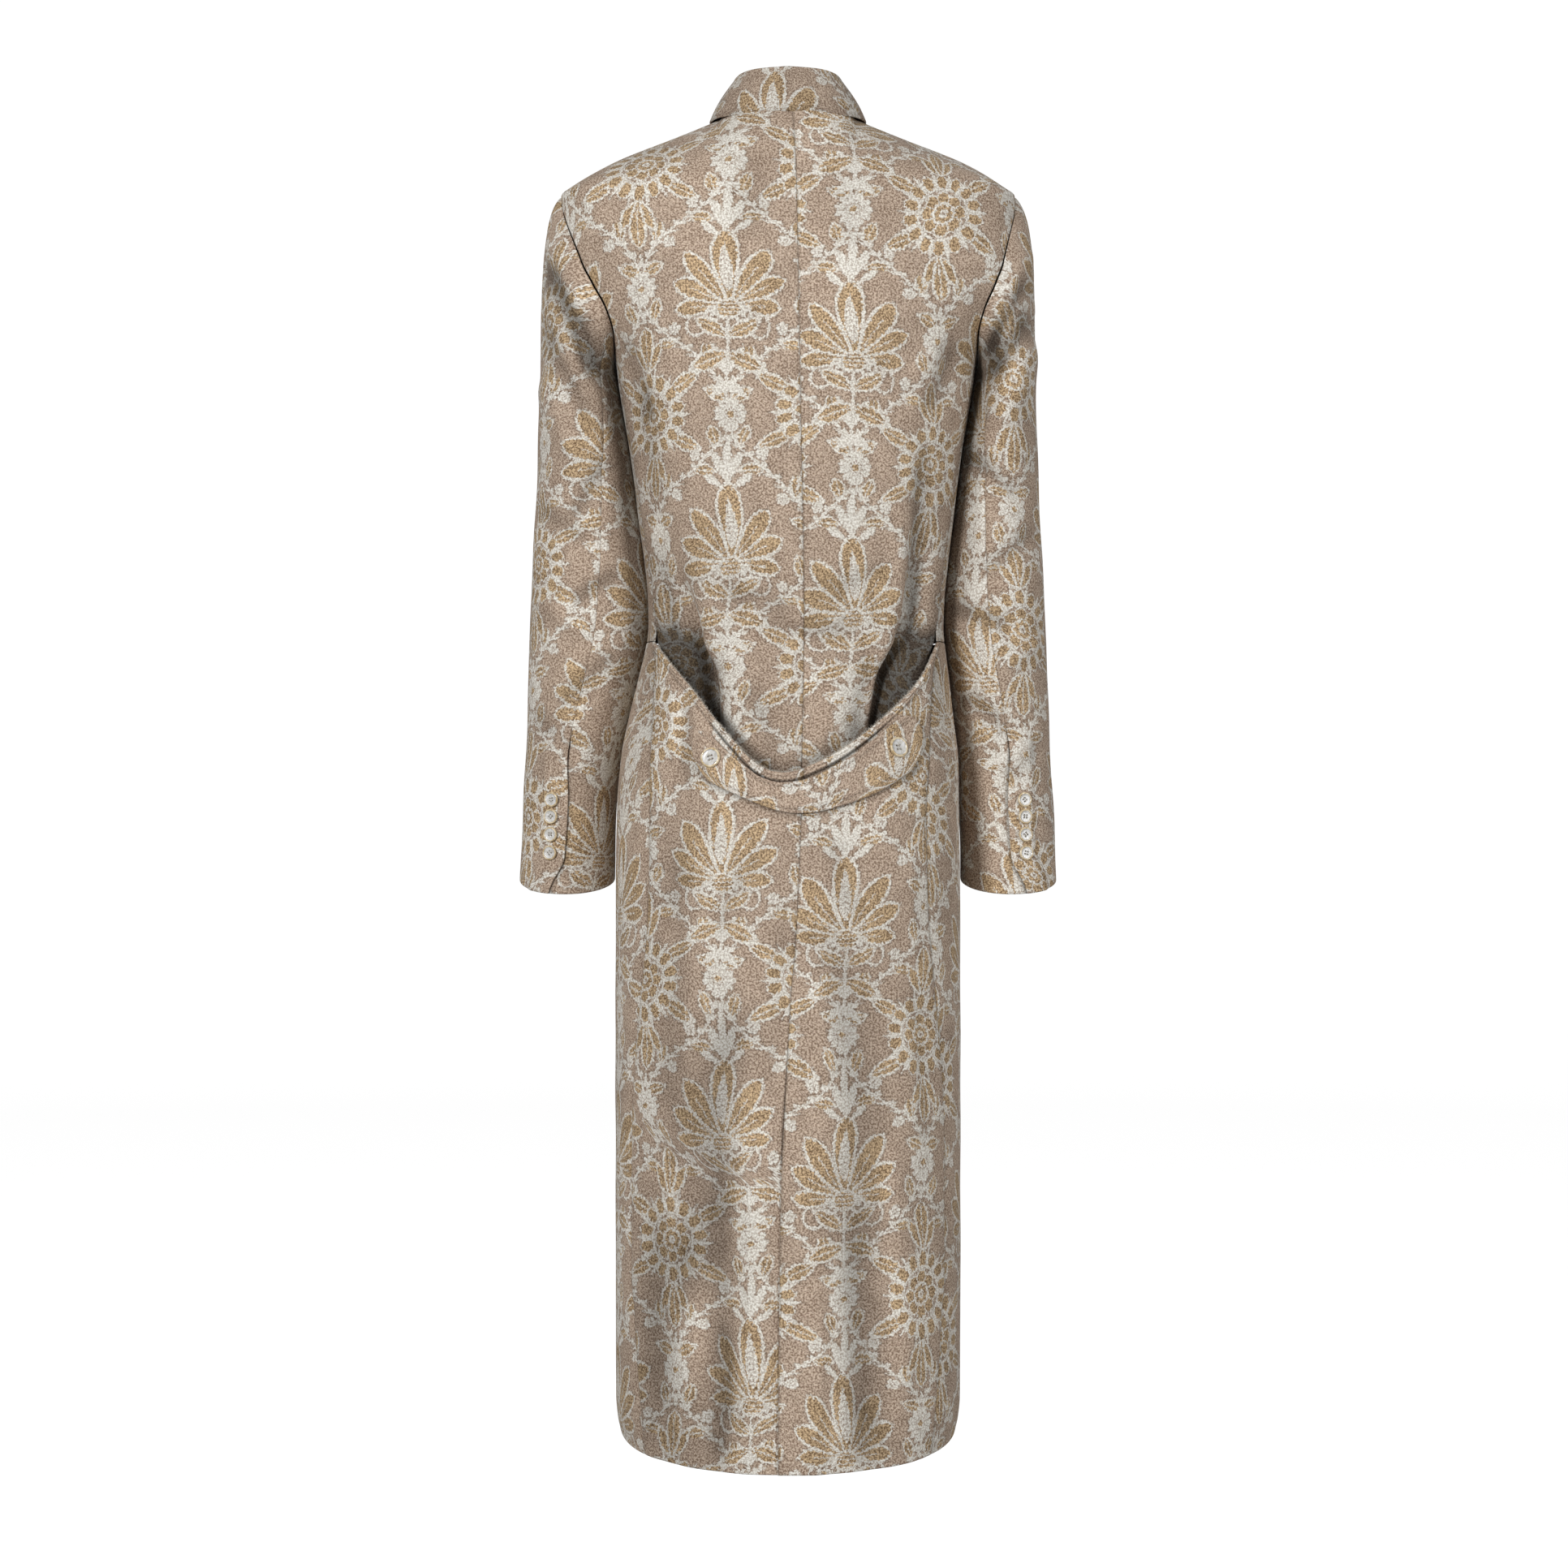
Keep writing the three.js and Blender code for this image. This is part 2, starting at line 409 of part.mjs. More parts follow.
// A waist seam parts the bodice front from the skirt front, level with the side end of the skirt's free edge.
const BODICE_LEVELS = LEVELS.filter((z) => z >= CORNER);
for (const side of [-1, 1]) {
  const stations = [0, 0.1, 0.2, 0.27, 0.38, 0.5, 0.62, 0.74, 0.85, 0.93, 1].map((s) => Math.min(s, 1 - 2.4 * TRIM));
  const edgeHem = skirtHem(side, 1);
  add(`front_${word(side)}`, clothSolid(stations.length, BODICE_LEVELS.length, (i, j) => {
    const s = stations[i], top = topOf(side * frontAngle(s, ARM_TOP), false);
    const p = frontPoint(side, s, spread(BODICE_LEVELS, j, top, CORNER + WAIST_GAP, CORNER));
    if (j === 0) p.y -= SHOULDER_GAP;
    return p;
  }), WOOL);
  add(`skirt_front_${word(side)}`, clothSolid(stations.length, SKIRT_LEVELS.length + 1, (i, j) => {
    const s = stations[i];
    let hem = -1155;
    for (let k = 0; k < 6; k++) hem = hemLevel(frontPoint(side, s, hem).y);
    return frontPoint(side, s, spread(SKIRT_LEVELS, j, CORNER - WAIST_GAP, s > 0.99 ? edgeHem : hem, edgeHem));
  }), WOOL);
}

// ---- sleeves -----------------------------------------------------------------------------------
// The armhole as a closed line, by angle: 0 at the shoulder point, 90 behind, 180 under the arm.
function armholeLine(side) {
  const steps = 40, back = [], front = [];
  for (let k = 0; k <= steps; k++) {
    const z = mix(ARM_TOP, UNDERARM, k / steps);
    back.push(section(side * backEdge(z), z));
    front.push(section(side * frontEdge(z), z));
  }
  const ruled = (line) => {
    const run = [0];
    for (let k = 1; k < line.length; k++) run.push(run[k - 1] + line[k].distanceTo(line[k - 1]));
    return (share) => {
      const goal = share * run[run.length - 1];
      let k = 1;
      while (k < run.length - 1 && run[k] < goal) k++;
      return line[k - 1].clone().lerp(line[k], (goal - run[k - 1]) / (run[k] - run[k - 1]));
    };
  };
  const behind = ruled(back), before = ruled(front);
  return (angle) => {
    const a = ((angle % 360) + 360) % 360;
    return a <= 180 ? behind(a / 180) : before((360 - a) / 180);
  };
}
const armhole = { 1: armholeLine(1), [-1]: armholeLine(-1) };
const sleeve = {};
for (const name of ['inner', 'outer', 'lean', 'deep', 'rear', 'fore']) sleeve[name] = column(SLEEVE, 'z', name);

function sleeveRing(side, angle, z, out = 0) {
  const inner = sleeve.inner(z) + side * shift(z), outer = sleeve.outer(z);
  const a = angle * rad;
  const u = (inner + outer) / 2 + ((outer - inner) / 2 + out) * Math.cos(a);
  const tilt = CUFF_TILT * Math.sin(a) * smooth(-590, -680, z);
  return new THREE.Vector3(side * u, sleeve.lean(z) + (sleeve.deep(z) + out) * Math.sin(a), z - tilt + (z < -640 ? 0 : 0));
}
// w runs 0 to 1 over the cap, from the armhole down, and 1 to 2 from there to the cuff.
const sleeveLevel = (w) => mix(CAP_LEVEL, CUFF_LEVEL, w - 1);
function sleevePoint(side, angle, w, out = 0) {
  if (w >= 1) return sleeveRing(side, angle, sleeveLevel(w), out);
  const a = angle * rad;
  const from = armhole[side](angle), to = sleeveRing(side, angle, CAP_LEVEL);
  const next = sleeveRing(side, angle, CAP_LEVEL - 5);
  const reach = from.distanceTo(to);
  const leave = new THREE.Vector3(side * (34 + 34 * Math.cos(a)), 22 * Math.sin(a), -55 - 20 * Math.abs(Math.sin(a)));
  if (Math.cos(a) < 0) leave.multiplyScalar(mix(1, 0.45, -Math.cos(a)));
  from.x += side * (CLOTH + SEAM + 0.2) * (0.5 - 0.5 * Math.cos(a));  // under the arm the sleeve's edge lies outside the body's
  const arrive = next.sub(to).normalize().multiplyScalar(reach * 0.95);
  const w2 = w * w, w3 = w2 * w;
  const p = from.multiplyScalar(2 * w3 - 3 * w2 + 1).addScaledVector(leave, w3 - 2 * w2 + w)
    .addScaledVector(to, 3 * w2 - 2 * w3).addScaledVector(arrive, w3 - w2);
  p.x += side * out * Math.cos(a); p.y += out * Math.sin(a);
  return p;
}
function rearSeam(w) { return w >= 1 ? sleeve.rear(sleeveLevel(w)) : mix(152, sleeve.rear(CAP_LEVEL), w); }
function foreSeam(w) { return w >= 1 ? sleeve.fore(sleeveLevel(w)) : mix(-132, sleeve.fore(CAP_LEVEL), w); }
const CAP_STEPS = [0, 0.1, 0.24, 0.42, 0.62, 0.82];
const ARM_LEVELS = [-235, -275, -320, -365, -410, -455, -500, -540, -562, -585, -610, -640, CUFF_LEVEL];
const SLEEVE_STEPS = [...CAP_STEPS, ...ARM_LEVELS.map((z) => 1 + (CAP_LEVEL - z) / (CAP_LEVEL - CUFF_LEVEL))];
for (const side of [-1, 1]) {
  const folds = SLEEVE_FOLDS.filter((f) => f.side === side);
  const lay = (angle, w, lift) => {
    const start = Math.max(w, 0.0165);
    const p = sleevePoint(side, angle, start);
    const fold = Math.sin(angle * rad) > 0 ? foldDepth(folds, side * p.x, p.z) * smooth(0.1, 0.5, w) : 0;
    return sleevePoint(side, angle, start, lift + fold);
  };
  const topColumns = 12, underColumns = 8, rows = SLEEVE_STEPS.length;
  add(`top_sleeve_${word(side)}`, clothSolid(topColumns, rows, (i, j) => {
    const w = SLEEVE_STEPS[j], z = sleeveLevel(w), rear = rearSeam(w), fore = foreSeam(w);
    const last = topColumns - 4;
    const angle = i <= last ? mix(fore + 0.4, rear - CUFF_VENT.wide, i / last) : rear - [CUFF_VENT.full, CUFF_VENT.full / 2, 0.4][i - last - 1];
    const lift = LAP * smooth(CUFF_VENT.wide, CUFF_VENT.full, rear - angle) * smooth(CUFF_VENT.top + 30, CUFF_VENT.top + 4, z) * (w >= 1 ? 1 : 0);
    return lay(angle, w, lift);
  }), WOOL);
  add(`under_sleeve_${word(side)}`, clothSolid(underColumns, rows, (i, j) => {
    const w = SLEEVE_STEPS[j], z = sleeveLevel(w);
    const tuck = w >= 1 ? CUFF_VENT.under * smooth(CUFF_VENT.top, CUFF_VENT.top - 20, z) : 0;
    const angle = mix(rearSeam(w) + 0.4 - tuck, 360 + foreSeam(w) - 0.4, i / (underColumns - 1));
    return lay(angle, w, 0);
  }), WOOL);
}

// ---- collar ---------------------------------------------------------------------------------------
const collar = {};
for (const name of ['foldU', 'foldT', 'foldZ', 'edgeU', 'edgeT', 'edgeZ']) collar[name] = column(COLLAR, 'a', name);
const COLLAR_END = 176, ROLL = 1.7;
function necklinePoint(angle) {
  const a = angle * rad, c = Math.cos(a);
  const [deep, rise] = c >= 0 ? [NECK_BACK.deep, NECK_BACK.rise] : [NECK_FRONT.deep, NECK_FRONT.drop];
  return new THREE.Vector3(NECK_HALF * Math.sin(a), NECK_SIDE.t + deep * c, NECK_SIDE.z + rise * c);
}
// v: 0 at the neck seam, up the stand, over the fold and down the fall to its edge at 1.
function collarPoint(angle, v) {
  const a = Math.abs(angle), sign = angle < 0 ? -1 : 1;
  const fold = new THREE.Vector3(sign * collar.foldU(a), collar.foldT(a), collar.foldZ(a));
  const edge = new THREE.Vector3(sign * collar.edgeU(a), collar.edgeT(a), collar.edgeZ(a));
  const seam = necklinePoint(angle);
  const outward = edge.clone().sub(fold).setZ(0).normalize();
  const inside = fold.clone().addScaledVector(outward, -ROLL), outside = fold.clone().addScaledVector(outward, ROLL);
  if (v <= 0.42) {
    const rise = inside.clone().sub(seam), start = (3 + 3.4 * smooth(148, 156, a)) / rise.length();
    return seam.addScaledVector(rise, mix(start, 1, v / 0.42));
  }
  if (v < 0.58) {
    const turn = ((v - 0.42) / 0.16) * Math.PI;
    return fold.addScaledVector(outward, -ROLL * Math.cos(turn)).add(new THREE.Vector3(0, 0, ROLL * Math.sin(turn)));
  }
  const k = (v - 0.58) / 0.42;
  return outside.lerp(edge, k).addScaledVector(outward, 2.2 * Math.sin(Math.PI * k));
}
{
  const columns = 27, steps = [0, 0.21, 0.42, 0.5, 0.58, 0.72, 0.86, 1];
  add('collar', clothSolid(columns, steps.length, (i, j) => {
    const p = collarPoint(mix(-COLLAR_END, COLLAR_END, i / (columns - 1)), steps[j]);
    p.x += shift(ARM_TOP);
    return p;
  }), WOOL);
}

// ---- half belt --------------------------------------------------------------------------------------
const beltTop = column(BELT_EDGES, 'u', 'top'), beltLow = column(BELT_EDGES, 'u', 'low');
const beltLeft = column(BELT_ENDS, 'r', 'left'), beltRight = column(BELT_ENDS, 'r', 'right');
// Point of the skirt seen at u and z from behind, moved out by "out".
function onSkirt(u, z, out) {
  const middle = shift(z), rel = u - middle, t = depthAt(rel, z);
  return section(Math.atan2(rel, t), z, out);
}
const beltOut = (q, r) => CLOTH + SEAM + 0.5 + 2.6 * (1 - r) * Math.sin(Math.PI * clamp(q, 0, 1)) ** 0.7;
function beltPoint(q, r, out = 0) {
  const u = mix(beltLeft(r), beltRight(r), q);
  return onSkirt(u, mix(beltTop(u), beltLow(u), r), beltOut(q, r) + out);
}
{
  const columns = 19, across4 = [0, 0.12, 0.4, 0.7, 0.9, 1];
  add('half_belt', clothSolid(columns, across4.length, (i, j) => beltPoint(i / (columns - 1), across4[j])), WOOL);
}

// ---- buttons -------------------------------------------------------------------------------------------
// A rimmed disc with a dished face, its axis along +Z, its back at 0.
function buttonGeometry(diameter, thick, segments) {
  const r = diameter / 2;
  const profile = [[0, 0], [r * 0.8, 0], [r, thick * 0.4], [r * 0.97, thick * 0.85], [r * 0.86, thick], [r * 0.7, thick * 0.72], [0, thick * 0.66]];
  const lathe = new THREE.LatheGeometry(profile.map(([x, y]) => new THREE.Vector2(x, y)), segments);
  lathe.rotateX(Math.PI / 2);
  return lathe;
}
// Sews a button on where "at" gives points a little apart along the cloth's outer face.
function sewButton(name, at, diameter, thick, segments) {
  const here = at(0, 0), e = 2;
  const across = at(e, 0).sub(at(-e, 0)), up = at(0, e).sub(at(0, -e));
  const own = (p) => new THREE.Vector3(-p.x, p.y, p.z);
  const normal = own(across).cross(own(up)).normalize();
  const out = own(here).sub(new THREE.Vector3(0, 0, here.z));
  if (normal.dot(out) < 0) normal.negate();
  const mesh = add(name, buttonGeometry(diameter, thick, segments), PEARL);
  mesh.quaternion.setFromUnitVectors(new THREE.Vector3(0, 0, 1), normal);
  mesh.position.copy(own(here)).addScaledVector(normal, CLOTH / 2 + SEAM + 0.25);
}
const BELT_BUTTONS = [{ side: -1, u: -64.5, z: -560 }, { side: 1, u: 92, z: -551 }];
for (const b of BELT_BUTTONS) {
  sewButton(`belt_button_${word(b.side)}`, (du, dz) => {
    const u = b.u + du, z = b.z + dz, r = (z - beltTop(u)) / (beltLow(u) - beltTop(u));
    const q = (u - beltLeft(r)) / (beltRight(r) - beltLeft(r));
    return onSkirt(u, z, beltOut(q, r));
  }, BUTTON.belt, 3.2, 18);
}
const CUFF_BUTTONS = [
  { z: -595.5, u: 207 }, { z: -609.2, u: 207.6 }, { z: -622.9, u: 208 }, { z: -636.6, u: 208.6 },
];
for (const side of [-1, 1]) {
  CUFF_BUTTONS.forEach((b, k) => {
    sewButton(`cuff_button_${word(side)}_${k + 1}`, (du, dz) => {
      const z = b.z + dz, u = b.u + side * du;
      const inner = sleeve.inner(z) + side * shift(z), outer = sleeve.outer(z);
      const angle = Math.acos(clamp((u - (inner + outer) / 2) / ((outer - inner) / 2), -1, 1)) / rad;
      return sleeveRing(side, angle, z, LAP);
    }, BUTTON.cuff, 2.8, 14);
  });
}
const FRONT_BUTTONS = [-88, -196, -304, -412];
FRONT_BUTTONS.forEach((z, k) => {
  sewButton(`front_button_${k + 1}`, (du, dz) => section(Math.PI - du / 100, z + dz, LAP), BUTTON.front, 3.4, 16);
});

export default coat;
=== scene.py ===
"""Looks of a long tailored overcoat in napped wool jacquard, hollow, filled out with no wearer.

Sizes are millimetres seen from behind, as in the coat's own source: u grows to the wearer's right (-X),
t towards the back (+Y) and z upwards; side is +1 on the wearer's right. Meshes are written in metres.
"""
import math

import bpy
import numpy as np
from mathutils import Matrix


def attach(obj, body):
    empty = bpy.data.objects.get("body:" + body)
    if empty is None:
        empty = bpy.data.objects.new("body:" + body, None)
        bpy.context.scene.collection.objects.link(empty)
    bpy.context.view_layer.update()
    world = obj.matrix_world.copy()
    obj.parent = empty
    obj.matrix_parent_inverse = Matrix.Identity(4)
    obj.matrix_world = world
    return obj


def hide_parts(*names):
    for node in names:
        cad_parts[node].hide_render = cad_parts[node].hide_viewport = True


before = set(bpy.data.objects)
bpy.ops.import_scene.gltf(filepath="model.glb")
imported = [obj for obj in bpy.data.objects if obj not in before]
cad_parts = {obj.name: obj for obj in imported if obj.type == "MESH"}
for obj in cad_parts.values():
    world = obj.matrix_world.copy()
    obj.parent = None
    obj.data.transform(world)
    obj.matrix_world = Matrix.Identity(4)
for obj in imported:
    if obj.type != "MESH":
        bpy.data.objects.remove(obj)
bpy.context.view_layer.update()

# ---- driving sizes (as the CAD's) ---------------------------------------------------------------
CLOTH, SEAM, SHOULDER_GAP, WAIST_GAP, LAP = 2.0, 0.3, 0.75, 0.45, 2.7
ARM_TOP, UNDERARM, CORNER, TONGUE_END = -61.0, -202.0, -457.0, -635.0
NECK_HALF = 57.0
NECK_SIDE_T, NECK_SIDE_Z, NECK_BACK_DEEP, NECK_BACK_RISE, NECK_FRONT_DEEP, NECK_FRONT_DROP = 4.0, 6.4, 44.0, 7.5, 70.0, 45.0
FRONT_LAP, VENT_TOP, VENT_LAP = 25.0, -905.0, 25.0
CUFF_LEVEL, CUFF_TILT, CAP_LEVEL = -668.0, 12.0, -235.0
BACK_POWER, FRONT_POWER, SHOULDER_POWER = 2.3, 1.95, 1.6
CUFF_VENT_TOP, CUFF_VENT_UNDER, CUFF_VENT_FULL, CUFF_VENT_WIDE = -560.0, 17.0, 24.0, 36.0
BUTTON = {"belt": 18.0, "cuff": 13.2, "front": 20.0}
GRID = 4.0     # spacing of the fine cloth mesh
RIM = 1.1                                 # radius of a turned, pressed edge


def table(names, *rows):
    keys = names.split()
    return [dict(zip(keys, row)) for row in rows]


BODY = table("z half shift back front",
    (-61, 200, 0, 86, 80), (-90, 200, 1.5, 93.5, 92), (-125, 198.4, 4, 101, 104), (-143, 192.8, 5.2, 104, 108),
    (-160, 184, 6.2, 106.5, 112), (-175, 173.6, 6.7, 108.5, 114.5), (-188, 164.7, 7, 109.5, 116), (-202, 160, 7, 110, 118),
    (-233, 155.5, 7, 110.5, 121), (-290, 146, 7, 108, 118), (-347, 138.5, 7.3, 104, 108), (-387, 133.3, 7.5, 102, 102),
    (-420, 130.2, 7.5, 102, 99), (-444, 129.6, 7.3, 103, 98), (-461, 131.5, 6.8, 105, 99), (-486, 136, 5.2, 108.5, 102),
    (-525, 143, 3, 116, 109), (-560, 148.5, 1.5, 127, 117), (-600, 150.5, 0, 135, 124), (-667, 151.4, 0, 141, 129),
    (-800, 151.6, 0, 145, 134), (-1000, 151.6, 0, 148, 139), (-1122, 151.2, 0, 150, 142), (-1140, 149.6, 0, 150, 142),
    (-1152, 147, 0, 150, 142), (-1175, 144, 0, 150, 142))
SHOULDER = table("u z t", (57, 6.4, 4), (81, -3.6, 3.4), (103, -12.4, 2.7), (133, -24, 1.8), (150, -31, 1.3),
    (165, -38.4, 0.8), (177, -45.4, 0.5), (188, -52.6, 0.2), (200, -61, 0))
ARMHOLE = table("z back front", (-61, 0, 0), (-75, 14, -20), (-90, 27, -36), (-107, 38, -48), (-125, 46, -55),
    (-143, 51, -58), (-160, 53, -56), (-175, 48, -49), (-188, 36, -32), (-197, 25, -8), (-202, 18, 18))
SEAM_UPPER = table("z t", (-202, 18), (-250, 20), (-320, 24), (-380, 28), (-420, 33), (-457, 40))
SEAM_LOWER = table("z u", (-457, 124.6), (-486, 121.6), (-525, 121), (-567, 121), (-606, 119.6), (-690, 121), (-752, 126),
    (-817, 132.2), (-878, 135.4), (-1010, 135.8), (-1037, 133.6), (-1085, 130.5), (-1120, 127.5), (-1160, 124))
CENTRE_BACK = table("z u", (14, 3.7), (-55, 7.2), (-160, 9.3), (-246, 10.7), (-346, 12.8), (-444, 14.2), (-567, 13.5),
    (-608, 11.4), (-661, 9.3), (-727, 5.8), (-764, 2.3), (-802, 0.2), (-865, -3.2), (-908, -5.3), (-1016, -7.3), (-1170, -8.7))
DROOP = table("u z", (-117.4, -457), (-107, -471), (-95.5, -485), (-82, -501), (-60.3, -529), (-42, -550), (-33.5, -559),
    (-23.7, -566.5), (-14, -570.7), (-3, -572), (6.6, -570.5), (20, -565.5), (39.5, -556), (59.5, -543), (91.8, -515.5),
    (105.5, -502), (116.5, -488), (122.5, -477), (131.5, -457))
TUCK = table("z middle edge hollow", (-340, 0, 0, 0), (-385, 5, 0, 5), (-420, 12, 0, 15), (-440, 17, 0.4, 21),
    (-457, 22, 3.4, 25), (-485, 29, 9, 25), (-525, 37, 15, 19), (-567, 46, 21, 12), (-635, 54, 26, 6))
TONGUE_EDGE = table("z u", (-457, 124.6), (-485, 120.5), (-525, 115), (-580, 111), (-635, 108))
BELT_EDGES = table("u top low", (-84, -523, -560), (-66, -539, -580), (-50, -555, -588.5), (-35, -567.5, -595),
    (-20.7, -577, -601), (-6.3, -580.5, -605.5), (6.6, -579.5, -607.2), (21, -576, -606.5), (31, -571, -604.5),
    (56.3, -555.5, -597), (77, -539, -588.5), (97, -523, -576), (118, -506, -560))
BELT_ENDS = table("r left right", (0, -66.5, 97), (0.12, -74, 104.5), (0.3, -80, 110.5), (0.6, -81.5, 114.5),
    (0.85, -80, 111.5), (1, -72.5, 104))
SLEEVE = table("z inner outer lean deep rear fore",
    (-235, 160.4, 219.7, -14, 66, 133, -124), (-290, 148.6, 221.5, -22, 66, 119, -122), (-346, 139.6, 224.5, -27, 64, 108, -120),
    (-390, 133.8, 227, -30, 62, 103, -119), (-444, 130.2, 229.5, -32, 60, 97, -118), (-500, 139.6, 231.7, -33, 58, 91, -118),
    (-555, 149.4, 234, -33, 54, 86, -118), (-600, 153.4, 236.2, -33, 51, 91, -118), (-640, 154.8, 238, -33, 50, 89, -118),
    (-660, 155.2, 238.8, -33, 50, 75, -118), (-680, 155.4, 239.4, -33, 50, 66, -118))
COLLAR = table("a foldU foldT foldZ edgeU edgeT edgeZ",
    (0, 0, 42, 45, 0, 66, 5.5), (35, 27, 34, 44, 42, 54, 4.5), (65, 42.5, 16, 41.5, 64.5, 28, 5), (90, 46, -1, 38, 69.8, 0, 5.4),
    (115, 43, -25, 28, 69, -38, -10), (140, 32, -46, 12, 57, -70, -33), (160, 18, -58, -1, 38, -84, -50), (176, 4.5, -62, -8, 17, -88, -58))

# ---- folds: a soft trough (deep below 0) or ridge from one point to another ------------------------
SKIRT_FOLDS = table("u0 z0 u1 z1 wide deep",
    (-22, -900, -34, -1165, 15, 5.5), (-46, -770, -88, -1030, 24, -4.5), (44, -700, 70, -1010, 26, -3.5), (-100, -620, -104, -900, 18, -3),
    (-58, -900, -66, -1180, 20, -3.4), (-104, -960, -106, -1180, 22, -3.0), (70, -1010, 76, -1180, 20, -2.6))
BACK_CREASES = table("u0 z0 u1 z1 wide deep",
    (119, -292, 105, -470, 9, -3.2), (99, -340, 93, -480, 8, 1.8), (-112, -380, -97, -480, 8, -2.6), (-126, -240, -119, -352, 11, -1.8),
    (148, -196, 122, -262, 9, -2.6), (-146, -190, -121, -268, 9, -2.4), (136, -186, 108, -236, 8, 1.6), (-58, -412, 2, -436, 11, -1.5),
    (-20, -446, 58, -452, 10, -1.3), (30, -418, 86, -398, 9, -1.2), (-92, -92, -66, -210, 22, 1.6), (96, -110, 72, -220, 22, 1.4),
    (-30, -34, -34, -110, 16, -0.9), (44, -40, 50, -122, 15, -0.9), (-70, -470, -52, -556, 10, -2.6), (72, -474, 60, -548, 10, -2.4),
    (-36, -500, -8, -560, 9, -1.6), (40, -496, 28, -566, 8, 1.2))
SKIRT_CREASES = table("u0 z0 u1 z1 wide deep",
    (-104, -500, -96, -560, 8, 2.0), (-92, -508, -86, -588, 7, -1.8), (112, -508, 108, -590, 8, -1.6), (-6, -690, -14, -846, 9, -1.3),
    (24, -742, 34, -905, 12, 1.4), (-70, -890, -84, -1090, 14, 2.2), (-116, -930, -122, -1150, 10, -2.0), (58, -960, 66, -1160, 13, -2.4),
    (92, -890, 98, -1130, 12, 2.2), (118, -760, 120, -900, 9, -1.4), (22, -1010, 24, -1168, 9, 1.8), (-56, -1040, -60, -1166, 10, -2.2),
    (-30, -640, -62, -716, 11, -1.6), (36, -632, 66, -700, 11, -1.4), (104, -640, 110, -736, 8, 1.2), (-108, -690, -112, -800, 9, 1.4))
FRONT_CREASES = table("u0 z0 u1 z1 wide deep",
    (-150, -196, -104, -250, 11, -2.6), (152, -198, 108, -256, 11, -2.8), (-128, -228, -84, -300, 10, 1.6), (132, -240, 92, -310, 10, 1.5),
    (-96, -400, -40, -432, 11, -1.7), (44, -436, 104, -404, 10, -1.8), (-60, -452, 18, -462, 10, -1.3), (-104, -480, -112, -640, 14, -2.6),
    (100, -470, 116, -660, 15, -2.4), (-62, -560, -78, -820, 18, 2.6), (64, -600, 82, -860, 17, 2.4), (-92, -780, -104, -1130, 15, -3.6),
    (90, -820, 108, -1140, 14, -3.2), (-48, -880, -50, -1146, 13, -2.4), (52, -900, 46, -1150, 14, -2.8), (-122, -820, -130, -1140, 12, 2.4),
    (126, -760, 130, -1130, 12, 2.2), (-74, -960, -78, -1148, 10, 2.4), (74, -990, 76, -1146, 10, 2.2), (-40, -60, -52, -150, 16, -1.2),
    (48, -64, 56, -158, 16, -1.2), (-110, -96, -84, -180, 18, 1.4), (112, -90, 88, -176, 18, 1.4))
SLEEVE_FOLDS = table("side u0 z0 u1 z1 wide deep",
    (-1, 214, -118, 166, -226, 11, -5.5), (-1, 196, -108, 176, -170, 12, 3.5), (1, 206, -136, 172, -205, 10, -5), (1, 212, -168, 178, -228, 10, -3.5))
SLEEVE_CREASES = table("side u0 z0 u1 z1 wide deep",
    (-1, 218, -176, 172, -268, 8, -2.4), (-1, 219, -228, 186, -296, 8, 1.8), (-1, 158, -300, 196, -352, 8, -2.2), (-1, 222, -334, 180, -372, 8, -1.8),
    (-1, 150, -396, 190, -424, 8, -2.6), (-1, 222, -420, 176, -450, 8, 1.6), (-1, 152, -470, 206, -512, 9, -2.2), (-1, 226, -520, 186, -556, 8, -1.4),
    (1, 218, -196, 182, -276, 9, 1.9), (1, 158, -292, 204, -330, 8, -2.2), (1, 220, -356, 172, -400, 9, -2.0), (1, 146, -424, 196, -446, 8, -2.4),
    (1, 224, -452, 184, -486, 8, 1.7), (1, 154, -506, 200, -538, 8, -1.9), (1, 226, -546, 192, -580, 8, -1.2), (1, 210, -110, 190, -150, 9, 1.5))
SLEEVE_FRONT_CREASES = table("side u0 z0 u1 z1 wide deep",
    (-1, 176, -190, 214, -236, 9, -2.6), (-1, 164, -290, 212, -322, 9, -2.8), (-1, 152, -372, 210, -396, 8, -3.2), (-1, 150, -410, 206, -420, 8, 1.8),
    (-1, 150, -446, 214, -462, 8, -2.8), (-1, 160, -520, 216, -552, 9, -2.0), (-1, 168, -600, 212, -616, 9, -1.4),
    (1, 174, -184, 212, -242, 9, -2.8), (1, 160, -282, 214, -306, 9, -2.4), (1, 150, -356, 208, -384, 8, -3.2), (1, 150, -398, 210, -408, 8, 1.9),
    (1, 148, -436, 212, -458, 8, -3.0), (1, 162, -512, 214, -536, 9, -2.2), (1, 170, -592, 210, -612, 9, -1.4))


# ---- small helpers ------------------------------------------------------------------------------------
def mix(a, b, k): return a + (b - a) * k
def smooth(lo, hi, v):
    k = np.clip((np.asarray(v, float) - lo) / (hi - lo), 0, 1)
    return k * k * (3 - 2 * k)


